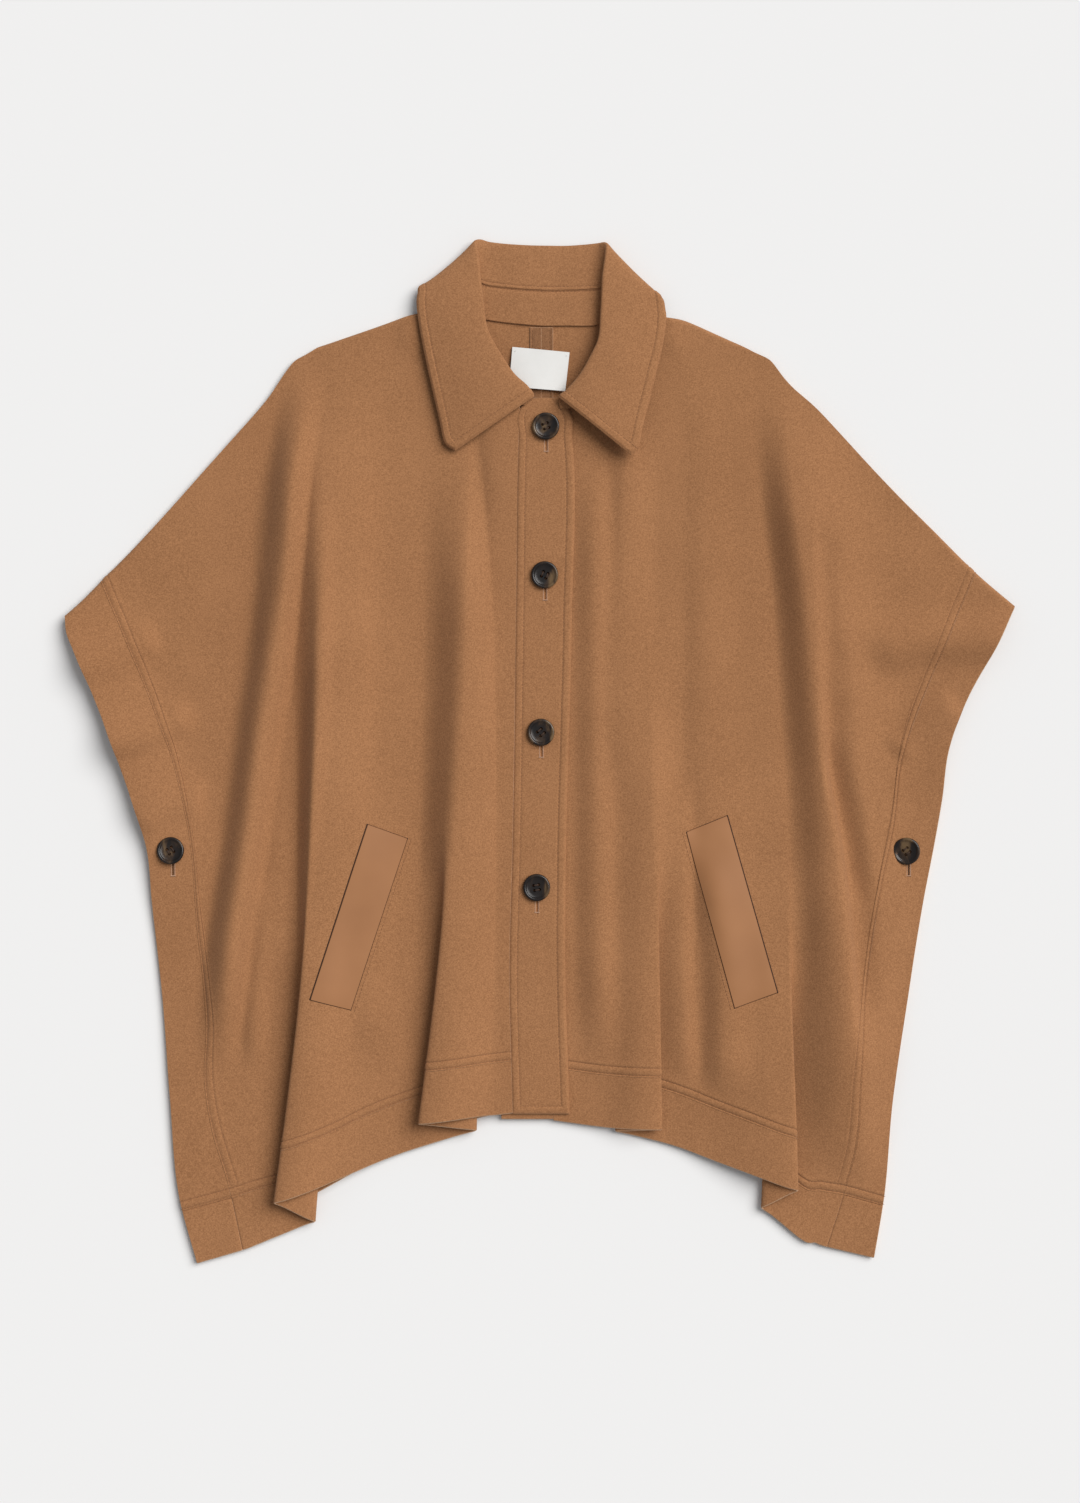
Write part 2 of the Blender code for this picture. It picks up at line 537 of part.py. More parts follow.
# ---------------------------------------------------------------- label
corners = np.array([[LABEL[0], LABEL[1]], [LABEL[3], LABEL[2]]], float)
down, over = np.meshgrid(np.linspace(0, 1, 6), np.linspace(0, 1, 3), indexing="ij")
flat = ((1 - down) * (1 - over))[..., None] * corners[0, 0] + ((1 - down) * over)[..., None] * corners[0, 1]
flat = flat + (down * (1 - over))[..., None] * corners[1, 0] + (down * over)[..., None] * corners[1, 1]
grid = np.dstack([flat, flat[..., 0] * 0])
for side in (RIGHT, LEFT):
    grid = rest_on(grid, back_height[side], CLOTH / 2 + GAP + LABEL_CLOTH / 2)
    grid = rest_on(grid, tape_height[side], SEAM_TAPE / 2 + GAP + LABEL_CLOTH / 2)
wall("neck_label", grid, np.zeros_like(grid) + [0, 0, 1], LABEL_CLOTH, label_cloth)


# ---------------------------------------------------------------- placket and underlap
def strip(name, table, z, thick, columns=4):
    ys = [w.y for w in table]
    ys = sorted(set(ys + list(np.linspace(ys[0], ys[-1], 11))), reverse=True)
    right, left = (across([Point(getattr(w, edge), w.y) for w in table], ys) for edge in ("right_x", "left_x"))
    grid = np.array([[(r + (e - r) * s, y, z) for s in np.linspace(0, 1, columns)] for r, e, y in zip(right, left, ys)])
    wall(name, grid, np.zeros_like(grid) + [0, 0, 1], thick, wool)
    return height_of(grid)


strip("underlap", UNDERLAP, UNDERLAP_Z, CLOTH)
placket_height = strip("placket", PLACKET, PLACKET_Z, PLACKET_CLOTH)

# ---------------------------------------------------------------- collar
# Each station's section climbs the stand, turns over the roll and comes down the fall.
Section = namedtuple("Section", "start end share height")
COLLAR_SECTION = [
    Section("seam", "roll", 0.00, {"stand_z": 1.00}),
    Section("seam", "roll", 0.45, {"stand_z": 0.85, "roll_z": 0.15}),
    Section("seam", "roll", 0.88, {"stand_z": 0.50, "roll_z": 0.50}),
    Section("seam", "roll", 1.04, {"stand_z": 0.10, "roll_z": 0.90}),
    Section("roll", "edge", 0.08, {"roll_z": 0.55, "fall_z": 0.45}),
    Section("roll", "edge", 0.50, {"fall_z": 1.00}),
    Section("roll", "edge", 1.00, {"edge_z": 1.00}),
]
stations = []
for station in COLLAR_STATIONS:
    row = []
    for part in COLLAR_SECTION:
        plan = between(getattr(station, part.start), getattr(station, part.end), part.share)
        row.append((*plan, sum(getattr(station, key) * share for key, share in part.height.items())))
    stations.append(row)
stations = np.array(stations, float)
# Only the back of the stand is a piece of its own: the seams at its ends lie between two stations.
STAND_ENDS = (11.5, 16.5)
SEAM_SHARE = 0.02
along = sorted([float(i) for i in range(len(stations))] + [end + d for end in STAND_ENDS for d in (-SEAM_SHARE, SEAM_SHARE)])
low = np.minimum(np.floor(along).astype(int), len(stations) - 2)
part = (np.array(along) - low)[:, None, None]
stations = stations[low] * (1 - part) + stations[low + 1] * part
places = [0, 0.5, 1 - SEAM_SHARE, 1 + SEAM_SHARE, 1.6, 2.2, 2.6, 3, 3.4, 3.8, 4.4, 5.2, 6]
grid = np.einsum("pk,ski->spi", spline_weights(len(COLLAR_SECTION), places), stations)
for side in (RIGHT, LEFT):
    grid[:, :5] = rest_on(grid[:, :5], front_height[side], CLOTH + GAP + 0.1)
    grid[:, :5] = rest_on(grid[:, :5], back_height[side], CLOTH + GAP)
grid[:, :5] = rest_on(grid[:, :5], placket_height, PLACKET_CLOTH / 2 + CLOTH / 2 + GAP)
normals = normals_of(grid)
middle = (np.array(along[1:]) + np.array(along[:-1])) / 2
seam_at_end = np.array([min(abs(m - end) for end in STAND_ENDS) < 0.001 for m in middle])
at_back = (middle > STAND_ENDS[0]) & (middle < STAND_ENDS[1]) & ~seam_at_end
stand = np.zeros((len(along) - 1, len(places) - 1), bool)
stand[at_back, :2] = True
collar = np.ones_like(stand)
collar[at_back | seam_at_end, :3] = False
wall("collar_stand", grid, normals, CLOTH, wool, stand)
wall("collar", grid, normals, CLOTH, wool, collar)

# ---------------------------------------------------------------- pocket welts
for welt in WELTS:
    side = RIGHT if welt.name.endswith("right") else LEFT
    rows, columns = 9, 4
    grid = np.zeros((rows, columns, 3))
    for i, along in enumerate(np.linspace(0, 1, rows)):
        for j, over in enumerate(np.linspace(0, 1, columns)):
            p = between(between(welt.top_outer, welt.low_outer, along), between(welt.top_inner, welt.low_inner, along), over)
            grid[i, j] = (p.x, p.y, front_height[side](*p) + CLOTH / 2 + GAP + WELT_LEATHER / 2)
    grid = rest_on(grid, front_height[side], CLOTH / 2 + GAP + WELT_LEATHER / 2 + 0.1)
    wall(welt.name, grid, normals_of(grid), WELT_LEATHER, leather)


# ---------------------------------------------------------------- buttons
def lathe(profile, sides):
    """Points and faces of a closed turned body. The profile runs from the axis below to the axis above."""
    points = [(0, 0, profile[0][1])]
    faces = []
    for r, z in profile[1:-1]:
        points += [(r * math.cos(2 * math.pi * k / sides), r * math.sin(2 * math.pi * k / sides), z) for k in range(sides)]
    points.append((0, 0, profile[-1][1]))
    rings = len(profile) - 2
    for k in range(sides):
        nxt = (k + 1) % sides
        faces.append((0, 1 + nxt, 1 + k))
        for ring in range(rings - 1):
            a, b = 1 + ring * sides, 1 + (ring + 1) * sides
            faces.append((a + k, a + nxt, b + nxt, b + k))
        a = 1 + (rings - 1) * sides
        faces.append((a + k, a + nxt, len(points) - 1))
    return points, faces


radius, thick = BUTTON_DIAMETER / 2, BUTTON_THICK
profile = [(0, 0), (radius - 3, 0), (radius, 1.6), (radius, 2.6), (radius - 1.2, thick),
           (radius - BUTTON_RIM, thick - 0.2), (radius - BUTTON_RIM - 1.6, thick - BUTTON_DISH), (0, thick - BUTTON_DISH)]
for button in BUTTONS:
    tilt = (0.0, 0.0)
    if "side" in button.name:
        read = front_height[RIGHT if button.x < 0 else LEFT]
        reach = radius * 0.8
        slope_x = (read(button.x + reach, button.y) - read(button.x - reach, button.y)) / (2 * reach)
        slope_y = (read(button.x, button.y + reach) - read(button.x, button.y - reach)) / (2 * reach)
        base = read(button.x, button.y) + CLOTH / 2 + 1.0
        tilt = (math.atan(slope_y), -math.atan(slope_x))
    else:
        base = PLACKET_Z + PLACKET_CLOTH / 2 + GAP
    made = mesh_object(button.name, *lathe(profile, 28), horn, cape)
    cut_points, cut_faces = [], []
    for quarter in range(4):
        angle = math.radians(45 + 90 * quarter)
        cx, cy = BUTTON_HOLE_SPACING / math.sqrt(2) * math.cos(angle), BUTTON_HOLE_SPACING / math.sqrt(2) * math.sin(angle)
        points, faces = lathe([(0, -2), (BUTTON_HOLE / 2, -2), (BUTTON_HOLE / 2, 8), (0, 8)], 10)
        cut_faces += [tuple(v + len(cut_points) for v in face) for face in faces]
        cut_points += [(x + cx, y + cy, z) for x, y, z in points]
    cutter = mesh_object(f"{button.name}_holes", cut_points, cut_faces, horn, cutters)
    cutter.hide_render = True
    cutter.display_type = "WIRE"
    for body in (made, cutter):
        body.location = (button.x * MM, button.y * MM, base * MM)
        body.rotation_euler = (tilt[0], tilt[1], math.radians(20))
    holes = made.modifiers.new("holes", "BOOLEAN")
    holes.operation = "DIFFERENCE"
    holes.solver = "EXACT"
    holes.object = cutter
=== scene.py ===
"""The looks of a wool cape laid flat, front up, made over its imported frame.

Tables are in millimetres, in the frame's own axes: +X is the wearer's left, +Y runs from the hem to the
collar and +Z is up. The sections follow the cape as it is sewn, from the back to the buttons.
"""

import math
from collections import namedtuple

import bpy
import numpy as np
from mathutils import Euler, Matrix, Vector, noise
from mathutils.bvhtree import BVHTree


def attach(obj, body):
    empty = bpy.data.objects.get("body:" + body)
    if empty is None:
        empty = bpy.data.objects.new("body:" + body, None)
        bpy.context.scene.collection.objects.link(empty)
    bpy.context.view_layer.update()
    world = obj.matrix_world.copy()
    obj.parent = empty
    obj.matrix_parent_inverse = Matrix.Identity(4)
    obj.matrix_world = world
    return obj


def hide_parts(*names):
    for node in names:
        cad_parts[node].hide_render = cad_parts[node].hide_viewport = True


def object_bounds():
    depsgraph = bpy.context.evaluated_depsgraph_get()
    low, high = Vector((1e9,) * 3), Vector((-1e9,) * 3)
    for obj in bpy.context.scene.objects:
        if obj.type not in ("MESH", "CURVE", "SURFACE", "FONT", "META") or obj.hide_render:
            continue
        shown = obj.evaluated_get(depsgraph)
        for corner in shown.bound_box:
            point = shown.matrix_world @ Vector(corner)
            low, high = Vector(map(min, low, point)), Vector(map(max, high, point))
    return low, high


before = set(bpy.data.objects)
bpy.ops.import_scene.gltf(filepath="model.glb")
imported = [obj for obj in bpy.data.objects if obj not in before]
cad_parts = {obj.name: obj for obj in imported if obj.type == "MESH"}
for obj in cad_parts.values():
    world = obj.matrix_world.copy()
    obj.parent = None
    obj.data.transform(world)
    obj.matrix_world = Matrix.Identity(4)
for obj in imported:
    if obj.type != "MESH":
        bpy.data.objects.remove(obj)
cad_box = [list(corner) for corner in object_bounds()]

# ---------------------------------------------------------------- camera, light and floor
# The cape lies on a pale floor under a camera that looks straight down. One broad, soft lamp stands
# above its upper right, and the rest of the light comes evenly from a white room.
low_corner, high_corner = np.array(cad_box[0]), np.array(cad_box[1])
middle = (low_corner + high_corner) / 2
CAMERA_HEIGHT = 3.0
VIEW_HEIGHT = 1.4695 * (high_corner[1] - low_corner[1])


def put(name, data):
    """A new object in the scene."""
    made = bpy.data.objects.new(name, data)
    bpy.context.scene.collection.objects.link(made)
    return made


camera_data = bpy.data.cameras.new("overhead_camera")
camera_data.sensor_width = 36
camera_data.lens = 36 * CAMERA_HEIGHT / VIEW_HEIGHT
camera = put("overhead_camera", camera_data)
camera.location = (middle[0], middle[1], CAMERA_HEIGHT + 0.006)
bpy.context.scene.camera = camera

lamp_data = bpy.data.lights.new("broad_lamp", "SUN")
lamp_data.energy = 3.25
lamp_data.angle = math.radians(46)
lamp_data.color = (1.0, 0.985, 0.965)
lamp = put("broad_lamp", lamp_data)
lamp.rotation_euler = Vector((0.60, 0.42, 0.80)).to_track_quat("Z", "Y").to_euler()

room = bpy.data.worlds.new("white_room")
room.use_nodes = True
room.node_tree.nodes["Background"].inputs["Color"].default_value = (0.97, 0.985, 1.0, 1)
room.node_tree.nodes["Background"].inputs["Strength"].default_value = 0.335
bpy.context.scene.world = room
bpy.context.scene.view_settings.view_transform = "Standard"

FLOOR_REACH = 60
FLOOR_Z = -0.0004
floor_mesh = bpy.data.meshes.new("studio_floor")
floor_corners = [(x * FLOOR_REACH, y * FLOOR_REACH, FLOOR_Z) for x, y in ((-1, -1), (1, -1), (1, 1), (-1, 1))]
floor_mesh.from_pydata(floor_corners, [], [(0, 1, 2, 3)])
floor = put("studio_floor", floor_mesh)


class Shade:
    """A socket in a material that takes Python's arithmetic. node() adds any other node."""

    def __init__(self, tree, socket=None):
        self.tree, self.socket = tree, socket

    def node(self, kind, settings=None, inputs=None, output=0):
        made = self.tree.nodes.new(kind)
        for name, value in (settings or {}).items():
            if name == "stops":
                ramp = made.color_ramp.elements
                while len(ramp) < len(value):
                    ramp.new(0.5)
                for stop, (position, colour) in zip(ramp, value):
                    stop.position, stop.color = position, colour
            else:
                setattr(made, name, value)
        for name, value in (inputs or {}).items():
            if isinstance(value, Shade):
                self.tree.links.new(value.socket, made.inputs[name])
            else:
                made.inputs[name].default_value = value
        return Shade(self.tree, made.outputs[output] if len(made.outputs) else None)

    def where(self):
        """Each point's place in the piece."""
        return self.node("ShaderNodeTexCoord", {}, {}, "Object")

    def mottle(self, scale, detail, more=None):
        """Noise over this place."""
        inputs = {"Vector": self, "Scale": scale, "Detail": detail, **(more or {})}
        return self.node("ShaderNodeTexNoise", {}, inputs)

    def mix(self, low, high):
        """The colour that runs from low to high as this goes from 0 to 1."""
        return self.node("ShaderNodeMix", {"data_type": "RGBA"}, {0: self, 6: (*low, 1), 7: (*high, 1)}, 2)

    def bump(self, strength, distance):
        return self.node("ShaderNodeBump", {}, {"Height": self, "Strength": strength, "Distance": distance})

    def surface(self, inputs):
        """Ends the material in one surface."""
        made = self.node("ShaderNodeBsdfPrincipled", {}, inputs)
        self.node("ShaderNodeOutputMaterial", {}, {"Surface": made})

    def maths(self, operation, a, b):
        return self.node("ShaderNodeMath", {"operation": operation}, {0: a, 1: b})

    def __add__(self, other):
        return self.maths("ADD", self, other)

    def __sub__(self, other):
        return self.maths("SUBTRACT", self, other)

    def __rsub__(self, other):
        return self.maths("SUBTRACT", other, self)

    def __mul__(self, other):
        return self.maths("MULTIPLY", self, other)

    __radd__, __rmul__ = __add__, __mul__


def start_finish(name):
    """A new material with an empty tree, and a Shade to build it with."""
    made = bpy.data.materials.new(name)
    made.use_nodes = True
    made.node_tree.nodes.clear()
    return made, Shade(made.node_tree)


floor_finish, shade = start_finish("floor_paper")
grain = shade.node("ShaderNodeTexNoise", {}, {"Scale": 3.0, "Detail": 2.0})
paper = grain.mix((0.80, 0.80, 0.805), (0.81, 0.81, 0.81))
shade.surface({"Base Color": paper, "Roughness": 0.9, "Specular IOR Level": 0.2})
floor_mesh.materials.append(floor_finish)

# ---------------------------------------------------------------- back
# The back is two panels of felted camel wool, cut with a seam down the middle and banded along the hem
# and arms. The bands are lapped under the panels and held by two rows of stitches. It lies flat.
MM = 0.001
CLOTH = 2.2
CLEAR = 0.3
LAYER = CLOTH + CLEAR
RIGHT, LEFT = -1, 1
SIDES = ((RIGHT, "right"), (LEFT, "left"))
HEM_BAND = 48.0
BUTT = 0.3
BACK_Z = CLOTH / 2
FRONT_Z = BACK_Z + LAYER
TURN = FRONT_Z - 0.5
CENTRE_BACK_X = 1.0
BACK_NECK_X, BACK_NECK_Y = 40, 404  # the back's neck edge is level as far out as this
FALL_X, FALL_Y = (120, 140), (362, 384)  # where the back climbs onto the collar's fall below it

Point = namedtuple("Point", "x y")


def line_of(*pairs):
    return [Point(*pair) for pair in pairs]


# The turned edge from the point of the arm up to the neck, as far as the collar stand.
OVERARM = {
    RIGHT: line_of((-441, 126), (-424, 141), (-378, 187), (-339, 234), (-296, 280), (-253, 327),
        (-224, 363), (-209, 375), (-184, 384), (-114, 408), (-66, 423)),
    LEFT: line_of((441, 135), (410, 161), (382, 187), (338, 234), (292, 280), (251, 327), (226, 356),
        (212, 366), (171, 382), (115, 405), (68, 421)),
}
# The open edge from the point of the arm down to the corner of the hem.
ARM_EDGE = {
    RIGHT: line_of((-441, 126), (-439, 108), (-433, 94), (-413, 48), (-395, 1), (-379, -45),
        (-365, -92), (-361, -138), (-351, -231), (-344, -324), (-335, -417), (-319, -476)),
    LEFT: line_of((441, 135), (421, 94), (396, 48), (379, 1), (373, -45), (365, -92), (356, -138),
        (341, -231), (327, -324), (319, -417), (310, -471)),
}
# The seam of the band along that edge. It wanders because the cloth rolls under it.
ARM_SEAM = {
    RIGHT: line_of((-409, 158), (-368, 66), (-337, -13), (-322, -82), (-316, -166), (-307, -250),
        (-311, -310), (-304, -352), (-288, -400), (-274, -463)),
    LEFT: line_of((405, 166), (361, 65), (333, -6), (325, -70), (311, -134), (299, -217), (295, -300),
        (291, -371), (278, -417), (263, -460)),
}
# The lower edge of the back, from the centre outwards.
BACK_HEM = {
    RIGHT: line_of((1, -330), (-60, -340), (-100, -353), (-150, -378), (-186, -399), (-207, -411),
        (-240, -427), (-274, -449), (-318, -468)),
    LEFT: line_of((1, -330), (71, -345), (110, -352), (150, -366), (207, -390), (225, -412),
        (250, -440), (270, -454), (309, -463)),
}
# The curl of the whole garment off the floor along the arm edges.
Curl = namedtuple("Curl", "side height reach middle_y half_length")
CURLS = [Curl(RIGHT, 12, 75, 20, 210), Curl(LEFT, 7, 60, 60, 170)]


def rise(start, end, at):
    """0 before start, 1 after end, smooth between."""
    share = np.clip((np.asarray(at, float) - start) / (end - start), 0, 1)
    return share * share * (3 - 2 * share)


def through(known, values, at):
    """A smooth curve through a short table, read at other places."""
    known, values = np.asarray(known, float), np.asarray(values, float)
    if known[0] > known[-1]:
        known, values = known[::-1], values[::-1]
    slope = np.gradient(values, known)
    at = np.clip(at, known[0], known[-1])
    i = np.clip(np.searchsorted(known, at) - 1, 0, len(known) - 2)
    span = known[i + 1] - known[i]
    s = (at - known[i]) / span
    return ((2 * s**3 - 3 * s**2 + 1) * values[i] + (s**3 - 2 * s**2 + s) * span * slope[i]
            + (3 * s**2 - 2 * s**3) * values[i + 1] + (s**3 - s**2) * span * slope[i + 1])


def across(table, y):
    """The x of a line given by its points, at each y."""
    return through([p.y for p in table], [p.x for p in table], y)


def on_edge(table, x):
    table = sorted(table)
    return float(np.interp(x, [p.x for p in table], [p.y for p in table]))


def between(a, b, share):
    return Point(a.x + (b.x - a.x) * share, a.y + (b.y - a.y) * share)


def spline_weights(count, at):
    """Weights of a cubic B-spline on count points that starts on the first and ends on the last."""
    at = np.asarray(at, float)
    i = np.clip(np.floor(at).astype(int), 0, count - 2)
    s = at - i
    parts = [(1 - s) ** 3 / 6, (3 * s**3 - 6 * s**2 + 4) / 6,
             (-3 * s**3 + 3 * s**2 + 3 * s + 1) / 6, s**3 / 6]
    weights = np.zeros((len(at), count + 2))
    rows = np.arange(len(at))
    for k, part in enumerate(parts):
        weights[rows, i + k] += part
    weights[:, 1] += 2 * weights[:, 0]
    weights[:, 2] -= weights[:, 0]
    weights[:, -2] += 2 * weights[:, -1]
    weights[:, -3] -= weights[:, -1]
    return weights[:, 1:-1]


def lift(x, y):
    """How far the whole garment stands off the floor: over the collar's fall, and along the arms."""
    total = LAYER * rise(*FALL_Y, y) * (1 - rise(*FALL_X, np.abs(x)))
    for curl in CURLS:
        inward = -curl.side * (x - across(ARM_EDGE[curl.side], y))
        along = np.clip(1 - ((y - curl.middle_y) / curl.half_length) ** 2, 0, 1)
        total += curl.height * along**2 * (1 - rise(-5, curl.reach, inward))
    return total


def ripple(x, y, wide, long, seed):
    """Soft waves over a surface, of about this width and length."""
    waves = [noise.noise(Vector((px / wide, py / long, seed))) for px, py in zip(x.ravel(), y.ravel())]
    return np.reshape(waves, x.shape)


def unit(vectors):
    return vectors / np.maximum(np.linalg.norm(vectors, axis=-1, keepdims=True), 1e-9)


def normals_of(grid):
    return unit(np.cross(np.gradient(grid, axis=0), np.gradient(grid, axis=1)))


def quads_of(grid):
    """The four point numbers of each square of a grid."""
    index = np.arange(grid[..., 0].size).reshape(grid.shape[:2])
    return np.stack([index[:-1, :-1], index[1:, :-1], index[1:, 1:], index[:-1, 1:]], axis=-1)


def lay(grid, keep=None):
    """Works out the area of a piece's middle surface and its width and length, measured along it; the result
    is not kept.
    """
    across_it = np.linalg.norm(np.diff(grid, axis=1), axis=2)
    down_it = np.linalg.norm(np.diff(grid, axis=0), axis=2)
    if keep is None:
        keep = np.ones((grid.shape[0] - 1, grid.shape[1] - 1), bool)
    diagonals = grid[1:, 1:] - grid[:-1, :-1], grid[1:, :-1] - grid[:-1, 1:]
    area = (np.linalg.norm(np.cross(*diagonals), axis=2) / 2)[keep].sum() * MM**2
    width = (across_it[:-1] * keep).sum(axis=1).max() * MM
    length = (down_it[:, :-1] * keep).sum(axis=0).max() * MM
    min(area, width * length)


def cloth_mesh(name, grid, thick, finishes, relief=0.0, keep=None, bulge=0.3, normals=None, proud=1):
    """A closed wall of cloth around a grid. relief raises its upper face where proud is 1 and its lower
    face where proud is -1, and bulge rounds its edges."""
    normals = normals_of(grid) if normals is None else normals
    rows, columns = grid.shape[:2]
    count = rows * columns
    facing = proud * (1 if normals[..., 2].mean() > 0 else -1) if proud else 1
    relief = np.broadcast_to(np.asarray(relief, float), (rows, columns))[..., None]
    upper = (grid + normals * (thick / 2 + relief * (facing > 0))).reshape(-1, 3)
    under = (grid - normals * (thick / 2 + relief * (facing < 0))).reshape(-1, 3)
    quads = quads_of(grid)
    quads = (quads if keep is None else quads[keep]).reshape(-1, 4)
    edges = np.stack([quads, np.roll(quads, -1, axis=1)], axis=-1).reshape(-1, 2)
    border = edges[~np.isin(edges[:, 0] * count + edges[:, 1], edges[:, 1] * count + edges[:, 0])]
    flat_normals, middle_points = normals.reshape(-1, 3), grid.reshape(-1, 3)
    a, b = border[:, 0], border[:, 1]
    direction = np.cross(middle_points[b] - middle_points[a], flat_normals[a])
    outward = np.zeros((count, 3))
    for end in (0, 1):
        np.add.at(outward, border[:, end], unit(direction))
    rim = np.unique(border)
    rim_number = np.full(count, -1)
    rim_number[rim] = 2 * count + np.arange(len(rim))
    bulges = np.broadcast_to(bulge, (rows, columns)).reshape(-1)[rim, None]
    rim_points = (upper[rim] + under[rim]) / 2 + unit(outward[rim]) * bulges
    rim_faces = np.concatenate([np.stack([b, a, rim_number[a], rim_number[b]], axis=1),
                                np.stack([rim_number[b], rim_number[a], count + a, count + b], axis=1)])
    faces = np.concatenate([quads, quads[:, ::-1] + count, rim_faces])
    points = np.concatenate([upper, under, rim_points]) * MM
    used, faces = np.unique(faces, return_inverse=True)
    faces = faces.reshape(-1, 4)
    mesh = bpy.data.meshes.new(name)
    mesh.from_pydata(points[used].tolist(), [], faces.tolist())
    for finish in finishes:
        mesh.materials.append(finish)
    slots = np.zeros(len(faces), np.int32)
    slots[len(quads) * 2:] = len(finishes) - 1
    mesh.polygons.foreach_set("material_index", slots)
    mesh.shade_smooth()
    mesh.set_sharp_from_angle(angle=math.radians(52))
    made = put(name, mesh)
    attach(made, "root")
    return made


def wool_finish(name, deep, pale, fuzz=0.00022):
    """Felted wool: fine mottling, soft fibres lying down the cloth and a slight bloom."""
    made, shade = start_finish(name)
    place = shade.where()
    nap = shade.node("ShaderNodeMapping", {}, {"Vector": place, "Scale": (0.85, 1.0, 1.0)})
    fine = place.mottle(760.0, 3.0, {"Roughness": 0.65})
    fibre = nap.mottle(1500.0, 2.0, {"Roughness": 0.6})
    ply = nap.mottle(330.0, 2.0, {"Roughness": 0.6})
    cloud = place.mottle(14.0, 2.0)
    tone = fine * 0.62 + fibre * 0.50 + ply * 0.16 + cloud * 0.12
    tone = shade.node("ShaderNodeMapRange", {}, {"Value": tone, 1: 0.57, 2: 0.83, 3: 0.0, 4: 1.0})
    colour = tone.mix(deep, pale)
    height = fine * 0.6 + fibre * 0.4
    bump = height.bump(0.55, fuzz)
    shade.surface({
        "Base Color": colour, "Roughness": 0.95, "Specular IOR Level": 0.12, "Sheen Weight": 0.18,
        "Sheen Roughness": 0.5, "Sheen Tint": (1.0, 0.8, 0.62, 1), "Normal": bump})
    return made


wool = wool_finish("camel_wool", (0.246, 0.111, 0.0475), (0.398, 0.190, 0.0865))
cut_wool = wool_finish("camel_wool_cut_edge", (0.40, 0.225, 0.125), (0.60, 0.38, 0.24))

Lines = namedtuple("Lines", "side top hem bow height slope shift starts full wraps")


def arm_lines(side, low_edge, low_seam, inner_top, inner_low):
    """The lines of the arm band and the first one inside its seam."""
    high_edge, high_seam = ARM_EDGE[side][0], ARM_SEAM[side][0]
    middle_x = (high_edge.x + high_seam.x) / 2
    middle = Point(middle_x, on_edge(OVERARM[side], middle_x))
    return [(high_edge, low_edge), (middle, between(low_edge, low_seam, 0.5)), (high_seam, low_seam),
            (between(high_seam, inner_top, 0.45), between(low_seam, inner_low, 0.45))]


def back_lines(side, count=8):
    """Evenly spread lines of a back, from the arm edge inwards to the centre seam."""
    neck_x, neck_y = OVERARM[side][-1]
    high, low = ARM_SEAM[side][0].x, ARM_SEAM[side][-1].x
    lines = []
    for share in np.linspace(0, 1, count)[1:]:
        x = high + (CENTRE_BACK_X + side * BUTT / 2 - high) * share
        if abs(x) > abs(neck_x):
            y = on_edge(OVERARM[side], x)
        else:
            y = np.interp(abs(x), [BACK_NECK_X, abs(neck_x)], [BACK_NECK_Y, neck_y])
        low_x = low + (CENTRE_BACK_X + side * BUTT / 2 - low) * share
        lines.append((Point(x, y), Point(low_x, on_edge(BACK_HEM[side], low_x))))
    low_seam = Point(low, on_edge(BACK_HEM[side], low))
    lines = arm_lines(side, BACK_HEM[side][-1], low_seam, *lines[0]) + lines
    tops, hems = np.array([a for a, b in lines], float), np.array([b for a, b in lines], float)
    nothing = np.zeros(len(lines))
    return Lines(side, tops, hems, nothing, nothing, nothing, tops * 0, nothing, nothing + 1, nothing)


ARM_COUNT = 12
EDGE_SHARES = np.array([0, 0.02, 0.06, 0.15, 0.27, 0.40, 0.53, 0.66, 0.79, 0.90, 0.97, 1.0])
SEAM_STEPS = np.array([0.15, 0.5, 1.0, 1.5, 2.1, 3.2, 5.0, 6.8, 7.9, 8.6, 9.3, 10.2, 12.0])
BAND_STEPS = (0.15, 0.6, 1.4, 3.0, 6.0, 10, 15, 20, 25, 30, 35, 40, 43.5, 46, 47.3)
TURN_STEPS = (0, 0.25, 0.6, 1.05, 1.6, 2.2, TURN, 4.2, 6.5)
BAND_ROWS = len(BAND_STEPS) + 1
LAPS = (0.62, 0.94)  # where along a panel its pleats go from a ridge to a fold that laps over


